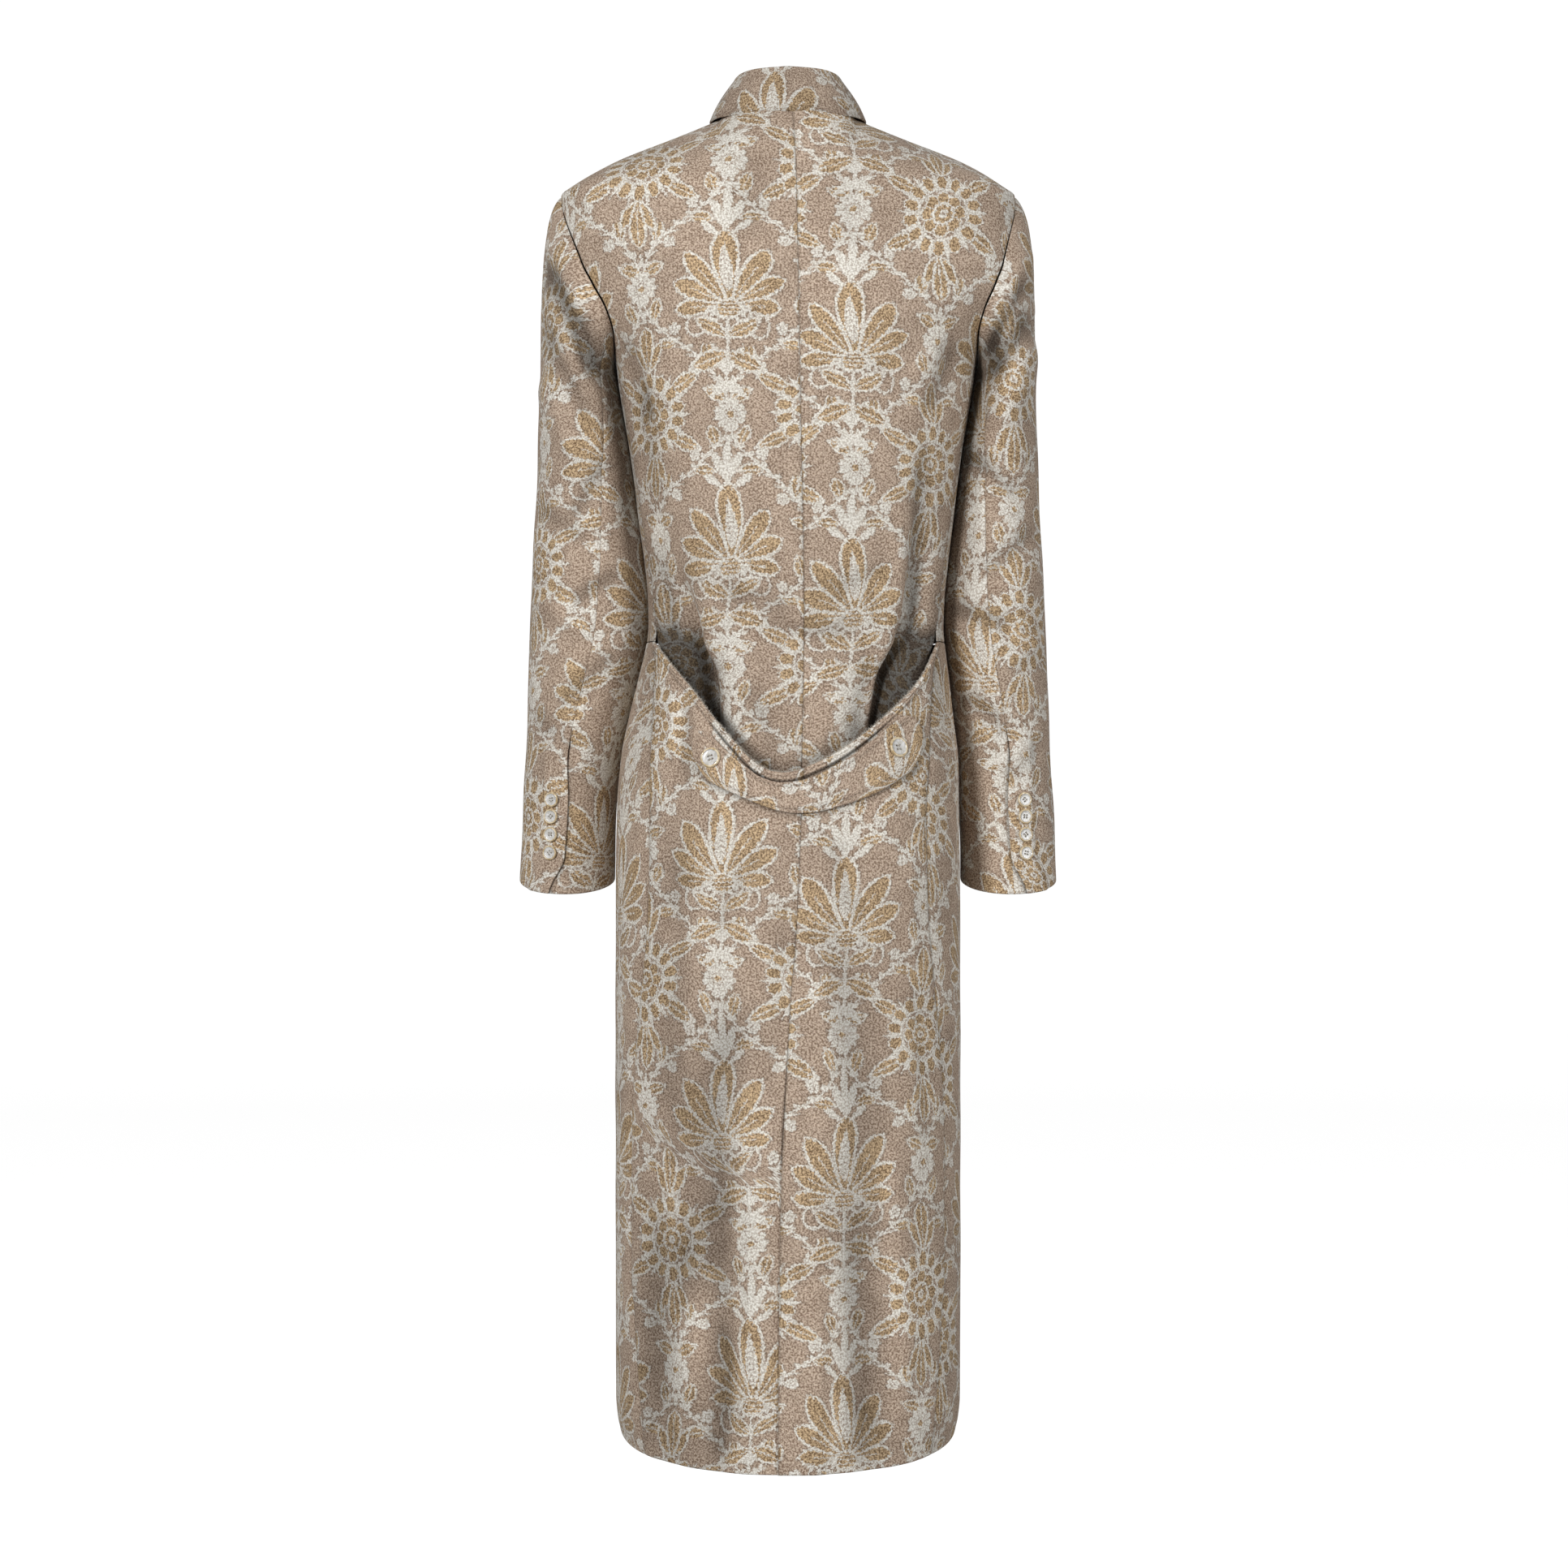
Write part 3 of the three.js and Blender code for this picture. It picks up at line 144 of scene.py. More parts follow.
def column(rows, key, name):
    """A smooth curve through one column of a table, which never passes beyond its rows."""
    rows = sorted(rows, key=lambda r: r[key])
    x = np.array([r[key] for r in rows], float); y = np.array([r[name] for r in rows], float)
    h = np.diff(x); d = np.diff(y) / h
    m = np.zeros(len(x))
    for i in range(1, len(x) - 1):
        if d[i - 1] * d[i] > 0:
            a, b = 2 * h[i] + h[i - 1], h[i] + 2 * h[i - 1]
            m[i] = (a + b) / (a / d[i - 1] + b / d[i])
    m[0], m[-1] = d[0], d[-1]

    def at(v):
        c = np.clip(np.asarray(v, float), x[0], x[-1])
        i = np.clip(np.searchsorted(x, c) - 1, 0, len(x) - 2)
        k = (c - x[i]) / h[i]
        k2 = k * k; k3 = k2 * k
        return (2 * k3 - 3 * k2 + 1) * y[i] + (k3 - 2 * k2 + k) * h[i] * m[i] + (3 * k2 - 2 * k3) * y[i + 1] + (k3 - k2) * h[i] * m[i + 1]
    return at


half, shift = column(BODY, "z", "half"), column(BODY, "z", "shift")
back_depth, front_depth = column(BODY, "z", "back"), column(BODY, "z", "front")
shoulder_z, shoulder_t = column(SHOULDER, "u", "z"), column(SHOULDER, "u", "t")
arm_back, arm_front = column(ARMHOLE, "z", "back"), column(ARMHOLE, "z", "front")
seam_t, seam_u = column(SEAM_UPPER, "z", "t"), column(SEAM_LOWER, "z", "u")
centre_back, droop = column(CENTRE_BACK, "z", "u"), column(DROOP, "u", "z")
tuck_middle, tuck_edge, tuck_hollow = (column(TUCK, "z", k) for k in ("middle", "edge", "hollow"))
tongue_edge = column(TONGUE_EDGE, "z", "u")
belt_top, belt_low = column(BELT_EDGES, "u", "top"), column(BELT_EDGES, "u", "low")
belt_left, belt_right = column(BELT_ENDS, "r", "left"), column(BELT_ENDS, "r", "right")
sleeve = {k: column(SLEEVE, "z", k) for k in ("inner", "outer", "lean", "deep", "rear", "fore")}
collar = {k: column(COLLAR, "a", k) for k in ("foldU", "foldT", "foldZ", "edgeU", "edgeT", "edgeZ")}


def fold_depth(rows, u, z):
    total = np.zeros(np.broadcast(u, z).shape)
    for f in rows:
        du, dz = f["u1"] - f["u0"], f["z1"] - f["z0"]
        length = math.hypot(du, dz)
        along = ((u - f["u0"]) * du + (z - f["z0"]) * dz) / (length * length)
        across = ((u - f["u0"]) * dz - (z - f["z0"]) * du) / length
        # a crease wanders a little and narrows towards its ends
        across = across + 0.22 * f["wide"] * np.sin(5.1 * along + 0.037 * f["z0"])
        taper = smooth(-0.12, 0.18, along) * smooth(1.12, 0.8, along)
        total = total + f["deep"] * taper * np.exp(-((across / f["wide"]) ** 2))
    return total


def uneven(u, z, size=1.0):
    """The slight unevenness of cloth that has been worn and hung."""
    a = np.sin(u / 19.0 + z / 37.0 + 1.3) * np.sin(z / 29.0 - u / 43.0) + 0.7 * np.sin(u / 11.0 - z / 53.0 + 4.0) * np.sin(z / 17.0 + u / 61.0 + 2.0)
    return size * (0.42 * a + 0.3 * np.sin(z / 71.0 + u / 31.0) * np.sin(u / 27.0 + 0.8))


# ---- body surface ------------------------------------------------------------------------------------------
def width_at(t, z):
    deep = np.where(t >= 0, back_depth(z), front_depth(z)); power = np.where(t >= 0, BACK_POWER, FRONT_POWER)
    return half(z) * (1 - np.minimum(1, np.abs(t) / deep) ** power) ** (1 / power)


def depth_at(u, z):
    return back_depth(z) * (1 - np.minimum(1, np.abs(u) / half(z)) ** BACK_POWER) ** (1 / BACK_POWER)


def top_at(u, behind):
    wide = np.abs(u)
    k = np.sqrt(np.maximum(0, 1 - (wide / NECK_HALF) ** 2))
    top = np.where(behind, NECK_SIDE_Z + NECK_BACK_RISE * k, NECK_SIDE_Z - NECK_FRONT_DROP * k)
    top_t = np.where(behind, NECK_SIDE_T + NECK_BACK_DEEP * k, NECK_SIDE_T - NECK_FRONT_DEEP * k)
    out = wide >= NECK_HALF
    return np.where(out, shoulder_z(wide), top), np.where(out, shoulder_t(wide), top_t)


def section(angle, z, out=0.0):
    angle, z, out = (np.array(v, float) for v in np.broadcast_arrays(angle, z, out))
    level = np.minimum(z, ARM_TOP); s, c = np.sin(angle), np.cos(angle)
    behind = c >= 0
    deep = np.where(behind, back_depth(level), front_depth(level)); power = np.where(behind, BACK_POWER, FRONT_POWER)
    wide = half(level)
    r = ((np.abs(s) / wide) ** power + (np.abs(c) / deep) ** power) ** (-1 / power)
    u, t = r * s, r * c
    nu = np.sign(s) * np.abs(u) ** (power - 1) / wide ** power
    nt = np.sign(c) * np.abs(t) ** (power - 1) / deep ** power
    size = np.hypot(nu, nt)
    top, top_t = top_at(u, behind)
    q = np.clip((z - ARM_TOP) / np.maximum(top - ARM_TOP, 1e-6), 0, 1)
    t = np.where(z > ARM_TOP, top_t + (t - top_t) * (1 - q ** SHOULDER_POWER) ** (1 / SHOULDER_POWER), t)
    return np.stack([u + shift(level) + out * nu / size, t + out * nt / size, z], -1)


def seam_angle(z):
    t = seam_t(z); u = seam_u(z)
    return np.where(z > CORNER, np.arctan2(width_at(t, z), t), np.arctan2(u, depth_at(u, z)))


def arm_edge(z, table_column):
    level = np.minimum(z, ARM_TOP); t = table_column(level)
    return np.where(z < UNDERARM, seam_angle(z), np.arctan2(width_at(t, level), t))


def back_edge(z): return arm_edge(z, arm_back)
def front_edge(z): return arm_edge(z, arm_front)


def towards(start, edge, z, s):
    calm = mix(edge, math.pi / 2, smooth(UNDERARM - 70, UNDERARM + 10, z))
    return mix(start, calm, s) + (edge - calm) * smooth(0.5, 1, s)


def centre_angle(z):
    level = np.minimum(z, ARM_TOP)
    return np.arctan2(centre_back(z) - shift(level), back_depth(level))


def hem_level(t): return np.where(t > 0, -1150 - 19.6 * (t / 150), -1150 + 3 * (-t / 142))


def top_of(angle, behind):
    return top_at(section(angle, ARM_TOP)[..., 0] - shift(ARM_TOP), behind)[0]


# ---- one sheet of cloth as a closed shell ------------------------------------------------------------------
def shares(length, step=None, rim=RIM, near=(True, True), power=None):
    """Places along a side from 0 to 1, close together at a turned edge."""
    step = step or GRID
    edge = [0.0, 0.25 * rim, 0.6 * rim, rim, 2.2 * rim]
    lo = [v / length for v in edge] if near[0] else [0.0]
    hi = [1 - v / length for v in reversed(edge)] if near[1] else [1.0]
    count = max(2, int(round((hi[0] - lo[-1]) * length / step)))
    inner = np.linspace(lo[-1], hi[0], count + 1)[1:-1]
    return np.array(lo + list(inner) + hi)


def rounding(places, length, rim=RIM, ends=(True, True), least=(0.1, 0.1)):
    """How much of the wall's half thickness is left at each place, 1 away from the edges."""
    out = np.ones(len(places))
    if ends[0]:
        d = np.clip(places * length / rim, 0, 1); out = np.minimum(out, np.sqrt(np.maximum(0, 1 - (1 - d) ** 2)))
    if ends[1]:
        d = np.clip((1 - places) * length / rim, 0, 1); out = np.minimum(out, np.sqrt(np.maximum(0, 1 - (1 - d) ** 2)))
    return np.maximum(out, np.where(np.asarray(places) < 0.5, least[0], least[1]))


def pressed(share, width, ends=(1.0, 1.0)):
    """How far a pressed seam draws the cloth in beside it."""
    return 0.8 * (ends[0] * np.exp(-((share * width / 2.3) ** 2)) + ends[1] * np.exp(-(((1 - share) * width / 2.3) ** 2)))


def normals(mid):
    along = np.empty_like(mid); down = np.empty_like(mid)
    along[:, 1:-1] = mid[:, 2:] - mid[:, :-2]; along[:, 0] = mid[:, 1] - mid[:, 0]; along[:, -1] = mid[:, -1] - mid[:, -2]
    down[1:-1] = mid[2:] - mid[:-2]; down[0] = mid[1] - mid[0]; down[-1] = mid[-1] - mid[-2]
    n = np.cross(along, down)
    size = np.linalg.norm(n, axis=-1, keepdims=True)
    return n / np.maximum(size, 1e-9)


def outward(mid, n, axis_u=0.0, axis_t=0.0):
    """Turns the normals away from an upright axis and says whether they were turned."""
    away = (mid[..., 0] - axis_u) * n[..., 0] + (mid[..., 1] - axis_t) * n[..., 1]
    return (n, False) if away.sum() > 0 else (-n, True)


def flat_by_length(mid, level, u0=0.0, sign=1.0, cap=None):
    """Flat cut of a panel: distance across along each row, distance down along each column from a level.
    A sleeve is measured from its middle, and its rounded cap, of so many rows, keeps the width below it."""
    step, down = np.diff(mid, axis=1), np.diff(mid, axis=0)
    level_way = np.gradient(mid, axis=1) * np.array([1.0, 1.0, 0.0])
    level_way /= np.maximum(np.linalg.norm(level_way, axis=-1, keepdims=True), 1e-6)
    across = np.concatenate([np.zeros((mid.shape[0], 1)), np.cumsum(np.hypot(step[..., 0], step[..., 1]), 1)], 1)
    drift = (down * (level_way[1:] + level_way[:-1]) / 2).sum(-1)
    if cap is None:
        fall = np.sqrt(np.maximum((down ** 2).sum(-1) - drift ** 2, 0))
    else:
        fall = np.linalg.norm(down, axis=-1)
        across = across - across[:, mid.shape[1] // 2][:, None]
        across[:cap] = across[cap]
    run = np.concatenate([np.zeros((1, mid.shape[1])), np.cumsum(fall, 0)], 0)
    at_level = np.array([np.interp(-level, -mid[:, i, 2], run[:, i]) for i in range(mid.shape[1])])
    return np.stack([u0 + sign * across, level - (run - at_level[None, :])], -1)


MATERIALS = {}


def shell(name, mid, flat, edge, n, turned, thick=CLOTH, inside="wool_inside", lift=None, outside="wool", hollow=None):
    """A closed sheet: mid is a grid of points, edge how much of the half thickness each keeps, and hollow how much
    painted shade darkens the cloth at each point, in troughs and crevices, 0 to 1."""
    rows, cols = mid.shape[:2]
    off = (thick / 2) * edge
    outer = mid + n * (off if lift is None else off + lift)[..., None]
    inner = mid - n * off[..., None]
    points = np.concatenate([outer.reshape(-1, 3), inner.reshape(-1, 3)])
    count = rows * cols
    ids = np.arange(count).reshape(rows, cols)
    a, b, c, d = ids[:-1, :-1].ravel(), ids[:-1, 1:].ravel(), ids[1:, 1:].ravel(), ids[1:, :-1].ravel()
    front = np.stack([a, b, c, d], 1)
    back = np.stack([a, d, c, b], 1) + count
    ring = np.concatenate([ids[0, :-1], ids[:-1, -1], ids[-1, :0:-1], ids[:0:-1, 0]])
    nxt = np.roll(ring, -1)
    wall = np.stack([nxt, ring, ring + count, nxt + count], 1)
    faces = np.concatenate([front, back, wall])
    slots = np.concatenate([np.zeros(len(front), int), np.ones(len(back), int), np.zeros(len(wall), int)])
    # n from cross(along, down) faces out of "front" when not turned; u is mirrored into x, which turns every face once
    if not turned:
        faces = faces[:, ::-1]
    return build(name, points, faces, np.concatenate([flat.reshape(-1, 2)] * 2), slots, [outside, inside], hollow)


# where each piece was cut from the woven design: sideways and upwards, in millimetres
CUT_FROM = {
    "upper_back_left": (52, 150), "upper_back_right": (-56, 196), "skirt_back_left": (58, -26), "skirt_back_right": (-50, 22),
    "front_left": (-70, 96), "front_right": (64, 140), "skirt_front_left": (40, 10), "skirt_front_right": (-66, 60), "top_sleeve_left": (-118, 60), "top_sleeve_right": (150, 118),
    "under_sleeve_left": (20, 190), "under_sleeve_right": (96, 30), "collar": (12, 84), "half_belt": (64, 44),
}


def build(name, points, faces, flat, slots, materials, hollow=None):
    if flat is not None:
        flat = flat + np.array(CUT_FROM.get(name.replace("_cloth", ""), (0, 0)), float)
    mesh = bpy.data.meshes.new(name)
    co = np.empty((len(points), 3)); co[:, 0] = -points[:, 0]; co[:, 1] = points[:, 1]; co[:, 2] = points[:, 2]
    faces = np.asarray(faces)
    size = faces.shape[1]
    mesh.vertices.add(len(co)); mesh.vertices.foreach_set("co", (co * 0.001).ravel())
    mesh.loops.add(faces.size); mesh.loops.foreach_set("vertex_index", faces.ravel())
    mesh.polygons.add(len(faces))
    mesh.polygons.foreach_set("loop_start", np.arange(0, faces.size, size))
    mesh.polygons.foreach_set("material_index", np.asarray(slots, dtype=np.int32))
    if flat is not None:
        layer = mesh.uv_layers.new(name="cut")
        layer.data.foreach_set("uv", (flat[faces.ravel()] * 0.001).ravel())
    # hollow is painted shade, carried to the material as a point attribute: full on the outside, half on the inside
    if hollow is not None:
        value = np.clip(hollow.reshape(-1), 0, 1.4)
        mesh.attributes.new("hollow", "FLOAT", "POINT").data.foreach_set("value", np.concatenate([value, value * 0.5]).astype(np.float32))
    mesh.update(calc_edges=True); mesh.validate(clean_customdata=False)
    mesh.shade_smooth()
    for key in materials:
        mesh.materials.append(MATERIALS[key])
    obj = bpy.data.objects.new(name, mesh)
    bpy.context.collection.objects.link(obj)
    return obj


def word(side): return "right" if side > 0 else "left"


# ---- materials -------------------------------------------------------------------------------------------------
def new_material(name):
    m = bpy.data.materials.new(name); m.use_nodes = True
    m.node_tree.nodes.clear()
    return m, m.node_tree


class Sums:
    """Writes sums as shader nodes, in the order in which they are worked out."""
    def __init__(self, tree):
        self.tree = tree

    def node(self, kind, **settings):
        n = self.tree.nodes.new(kind)
        for key, value in settings.items():
            setattr(n, key, value)
        return n

    def put(self, socket, value):
        if isinstance(value, Val):
            self.tree.links.new(value.socket, socket)
        elif value is not None:
            socket.default_value = value

    def op(self, name, *values):
        n = self.node("ShaderNodeMath", operation=name)
        for socket, value in zip(n.inputs, values):
            self.put(socket, value if isinstance(value, Val) else float(value))
        return Val(self, n.outputs[0])

    def min(self, a, b): return self.op("MINIMUM", a, b)
    def max(self, a, b): return self.op("MAXIMUM", a, b)
    def abs(self, a): return self.op("ABSOLUTE", a)
    def sqrt(self, a): return self.op("SQRT", a)
    def sin(self, a): return self.op("SINE", a)
    def cos(self, a): return self.op("COSINE", a)
    def atan2(self, y, x): return self.op("ARCTAN2", y, x)
    def fract(self, a): return self.op("FRACT", a)
    def wrap(self, a, period): return self.op("WRAP", a, period / 2, -period / 2)
    def less(self, a, b): return self.op("LESS_THAN", a, b)
    def mad(self, a, b, c): return self.op("MULTIPLY_ADD", a, b, c)
    def hypot(self, a, b): return self.sqrt(self.mad(b, b, a * a))

    def curve(self, a, points):
        n = self.node("ShaderNodeFloatCurve")
        line = n.mapping.curves[0]
        for x, y in points[1:-1]:
            line.points.new(x, y)
        line.points[0].location = points[0]; line.points[-1].location = points[-1]
        for p in line.points:
            p.handle_type = "VECTOR"
        n.mapping.extend = "HORIZONTAL"; n.mapping.update()
        self.put(n.inputs["Value"], a)
        return Val(self, n.outputs[0])

    def ramp(self, a, lo, hi, to_lo=0.0, to_hi=1.0):
        n = self.node("ShaderNodeMapRange", interpolation_type="SMOOTHSTEP")
        self.put(n.inputs["Value"], a)
        for key, value in (("From Min", lo), ("From Max", hi), ("To Min", to_lo), ("To Max", to_hi)):
            self.put(n.inputs[key], value)
        return Val(self, n.outputs["Result"])

    def color(self, factor, a, b, blend="MIX"):
        n = self.node("ShaderNodeMix", data_type="RGBA", blend_type=blend)
        sockets = [x for x in n.inputs if x.enabled]
        self.put(sockets[0], factor)
        for socket, value in ((sockets[1], a), (sockets[2], b)):
            if isinstance(value, Val):
                self.put(socket, value)
            else:
                socket.default_value = (*value, 1.0)
        return Val(self, [x for x in n.outputs if x.enabled][0])

    def vector(self, name, *values):
        n = self.node("ShaderNodeVectorMath", operation=name)
        for socket, value in zip([x for x in n.inputs if x.enabled], values):
            self.put(socket, value)
        return Val(self, n.outputs["Vector"])

    def noise(self, vector, scale, detail=0.0, rough=0.5, dims="2D"):
        n = self.node("ShaderNodeTexNoise", noise_dimensions=dims)
        self.put(n.inputs["Vector"], vector)
        n.inputs["Scale"].default_value = scale; n.inputs["Detail"].default_value = detail
        n.inputs["Roughness"].default_value = rough
        return Val(self, n.outputs["Fac"]), Val(self, n.outputs["Color"])

    def split(self, vector):
        n = self.node("ShaderNodeSeparateXYZ")
        self.put(n.inputs[0], vector)
        return Val(self, n.outputs[0]), Val(self, n.outputs[1])


class Val:
    def __init__(self, sums, socket):
        self.k, self.socket = sums, socket

    def __add__(self, o): return self.k.op("ADD", self, o)
    __radd__ = __add__
    def __sub__(self, o): return self.k.op("SUBTRACT", self, o)
    def __rsub__(self, o): return self.k.op("SUBTRACT", o, self)
    def __mul__(self, o): return self.k.op("MULTIPLY", self, o)
    __rmul__ = __mul__
    def __truediv__(self, o): return self.k.op("DIVIDE", self, o)
    def __neg__(self): return self.k.op("MULTIPLY", self, -1.0)


# ---- the woven design: a generic ogee damask, worked out in millimetres of flat cloth --------------
# profiles of leaves and petals: half width along their length
LEAF = [(0, .0), (.06, .30), (.14, .55), (.20, .50), (.24, .72), (.33, .86), (.38, .76), (.42, .95), (.52, 1.0), (.56, .84), (.60, .92), (.70, .82), (.74, .64), (.78, .66), (.87, .42), (.90, .30), (1, .0)]
PETAL = [(0, .12), (.12, .30), (.3, .62), (.5, .90), (.65, 1.0), (.78, .95), (.88, .74), (.95, .45), (1, .0)]
BUD = [(0, .20), (.15, .75), (.35, 1.0), (.6, .82), (.8, .45), (1, .0)]
LANCE = [(0, .15), (.2, .75), (.45, 1.0), (.7, .72), (.88, .3), (1, .0)]
LOBE = [(0, .62), (.1, .80), (.25, .95), (.5, 1.0), (.75, .95), (.9, .80), (1, .62)]
ROUND = [(0, .80), (.1, .88), (.25, .97), (.5, 1.0), (.75, .97), (.9, .88), (1, .80)]

ROUND_PETAL = [(0, .55), (.2, .80), (.45, 1.0), (.7, .96), (.88, .70), (.96, .4), (1, .0)]

TILE_W, TILE_H = 210.0, 300.0


class Cloth:
    """Raised pattern parts: C is the signed distance to the cream parts, G to the gold ones."""
    def __init__(self, K):
        self.K = K; self.C = None; self.G = None

    def filled(self, d, line=1.25):
        K = self.K
        g = d + line
        self.G = g if self.G is None else K.min(K.max(self.G, line - d), g)
        c = d - line
        self.C = c if self.C is None else K.min(self.C, c)

    def cream(self, d):
        K = self.K
        self.G = -d if self.G is None else K.max(self.G, -d)
        self.C = d if self.C is None else K.min(self.C, d)

    def bare(self, d):
        """Cuts the pattern back to the ground."""
        K = self.K
        self.G = K.max(self.G, -d); self.C = K.max(self.C, -d)


def leaf(K, x, y, at, turn, length, width, profile):
    """Signed distance to a leaf from 'at', turned clockwise from upright, and its own axes."""
    c, s = math.cos(turn), math.sin(turn)
    p = K.mad(x, s / length, K.mad(y, c / length, -(at[0] * s + at[1] * c) / length))      # along, 0 to 1
    q = K.mad(x, c, K.mad(y, -s, -(at[0] * c - at[1] * s)))                                 # across, mm
    aq = K.abs(q)
    # beyond either end the profile is 0, so the distance there is only rough
    d = aq - K.curve(p, profile) * width
    d = K.max(d, K.abs(p - 0.5) * length - length * 0.5)
    return d, p, aq


def design(K, X, Y):
    w, h = TILE_W, TILE_H
    xa, ya = K.wrap(X, w), K.wrap(Y, h)
    xb, yb = K.wrap(X + w / 2, w), K.wrap(Y + h / 2, h)
    ax, bx = K.abs(xa), K.abs(xb)
    P = Cloth(K)

    # ---- ogee vine, with a leaf on one side and then on the other
    turn = ya * (2 * math.pi / h)
    co, si = K.cos(turn), K.sin(turn)
    c2 = co * co
    f = K.mad(co, (1.26 - 0.26 * c2) * (w / 4), w / 4)
    slope = si * (1.26 - 0.78 * c2) * (w / 4 * 2 * math.pi / h)
    norm = K.sqrt(K.mad(slope, slope, 1.0))
    v = (ax - f) / norm
    # each leaf has axes of its own, along and across the stem where it grows
    cell = ya * (10 / h)
    dy = (K.fract(cell + 0.5) - 0.5) * (h / 10)
    tc = (ya - dy) * (2 * math.pi / h)
    cc, sc = K.cos(tc), K.sin(tc)
    cc2 = cc * cc
    dx = ax - K.mad(cc, (1.26 - 0.26 * cc2) * (w / 4), w / 4)
    sl = sc * (1.26 - 0.78 * cc2) * (-w / 4 * 2 * math.pi / h)
    nc = K.sqrt(K.mad(sl, sl, 1.0))
    side = K.mad(K.less(K.fract(cell * 0.5 + 0.25), 0.5), 2.0, -1.0)
    vs = (dx - dy * sl) / nc * side
    yl = (dx * sl + dy) / nc
    d, p, aq = leaf(K, vs, yl, (1.0, -13.0), 0.78, 29.0, 7.6, LEAF)
    P.filled(d, 1.1)
    P.cream(K.max(aq - 0.5, d))
    # small blossom on the other side of the stem, and leaflets all along it
    rb = K.hypot(vs + 11.0, yl + 1.0)
    ab = K.fract(K.mad(K.atan2(yl + 1.0, vs + 11.0), 5 / (2 * math.pi), 0.4))
    P.cream(rb - K.curve(ab, LOBE) * 7.5)
    P.bare(K.abs(rb - 2.6) - 0.6)
    av = K.abs(v)
    small = (K.fract(ya * (26 / h)) - 0.5) * norm * (h / 26)
    d, p, aq = leaf(K, av, small, (0.5, -4.5), 0.62, 9.5, 2.3, BUD)
    P.cream(d)
    P.cream(av - 1.2)

    # ---- motif one: a lotus palmette on a leafy stem
    d, p, aq = leaf(K, ax, ya, (1.0, -104.0), 0.50, 34.0, 5.0, LANCE)
    P.cream(d)
    d, p, aq = leaf(K, ax, ya, (0.0, -112.0), 2.3, 30.0, 5.2, LANCE)
    P.cream(d)
    ring = K.hypot(ax - 36.0, ya + 52.0)
    P.cream(K.max(K.abs(ring - 13.0) - 1.3, (ya + 52.0) * 0.8 - (ax - 36.0) * 0.6 - 4.0))
    d, p, aq = leaf(K, ax, ya, (0.0, -84.0), 1.95, 46.0, 9.5, LEAF)
    P.filled(d, 1.3); P.cream(K.max(aq - 0.55, d))
    d, p, aq = leaf(K, ax, ya, (0.0, -66.0), 1.05, 44.0, 9.0, LEAF)
    P.filled(d, 1.3); P.cream(K.max(aq - 0.55, d))
    P.cream(K.max(ax - 1.6, K.abs(ya + 82.0) - 40.0))
    for at, tilt, length, width in (((4.0, -30.0), 1.60, 58.0, 9.5), ((3.0, -28.0), 1.12, 68.0, 11.0), ((2.0, -28.0), 0.62, 80.0, 12.5)):
        d, p, aq = leaf(K, ax, ya, at, tilt, length, width, PETAL)
        P.filled(d, 1.5)
        inner = K.max(aq - 0.45, K.abs(p - 0.42) * length - length * 0.26)
        P.cream(inner)
    d, p, aq = leaf(K, ax, ya, (0.0, -30.0), 0.0, 96.0, 15.0, PETAL)
    P.filled(d, 1.6)
    d2, p, aq2 = leaf(K, ax, ya, (0.0, -12.0), 0.0, 62.0, 7.4, BUD)
    P.cream(d2)
    P.bare(K.max(K.abs(K.fract(K.mad(ya, 0.16, aq2 * 0.10)) - 0.5) * 6.0 - 0.7, d2 + 1.4))
    # its base: a scaled cup and two curls
    curl = K.abs(K.hypot(ax - 17.0, ya + 40.0) - 8.5) - 1.5
    P.cream(curl)
    P.cream(K.hypot(ax - 17.0, ya + 40.0) - 3.0)
    d = K.hypot(ax, (ya + 34.0) * 1.25) - 14.0
    P.filled(d, 1.5)
    P.cream(K.max(K.abs(K.fract(ya * 0.2) - 0.5) * 5.0 - 0.6, d))

    # a spray of plain petals over the lotus
    d, p, aq = leaf(K, ax, ya, (0.0, 64.0), 0.42, 40.0, 5.2, PETAL)
    P.cream(d)
    d, p, aq = leaf(K, ax, ya, (0.0, 62.0), 0.0, 52.0, 5.0, PETAL)
    P.cream(d + 0.0)
    d, p, aq = leaf(K, ax, ya, (4.0, 58.0), 0.95, 30.0, 4.2, PETAL)
    P.cream(d)

    # ---- motif two: a wreathed rosette with tulips above and below
    r = K.hypot(xb, yb)
    by = K.abs(yb)
    d, p, aq = leaf(K, bx, by, (0.0, 50.0), 0.55, 42.0, 8.0, LANCE)
    P.filled(d, 1.3)
    d, p, aq = leaf(K, bx, by, (0.0, 48.0), 0.0, 56.0, 10.0, PETAL)
    P.filled(d, 1.4); P.cream(K.max(aq - 0.6, d + 4.0))
    d, p, aq = leaf(K, bx, by, (30.0, 26.0), 1.15, 46.0, 9.0, LEAF)
    P.filled(d, 1.3); P.cream(K.max(aq - 0.55, d))
    theta = K.atan2(yb, xb) * (14 / (2 * math.pi))
    a = (K.fract(theta) - 0.5) * r * (2 * math.pi / 14)
    d, p, aq = leaf(K, a, r, (0.0, 30.0), 0.0, 20.0, 7.4, ROUND_PETAL)
    P.filled(d, 1.2)
    d, p, aq = leaf(K, K.abs(a) - r * 0.2244, r, (0.0, 34.0), 0.0, 23.0, 2.2, LANCE)
    P.cream(d)
    P.cream(K.abs(r - 30.5) - 1.4)
    a8 = K.fract(K.mad(theta, 8 / 14, 0.5))
    d = r - K.curve(a8, ROUND) * 27.0
    P.bare(r - 29.0)
    P.filled(d, 1.2)
    P.cream(K.max(K.abs(a8 - 0.5) * -1.0 * r * 0.785 + 0.5 * r * 0.785 - 0.7, d))     # between two petals
    d = r - K.curve(a8, ROUND) * 12.5
    P.filled(d, 1.3)
    P.cream(r - 4.6)
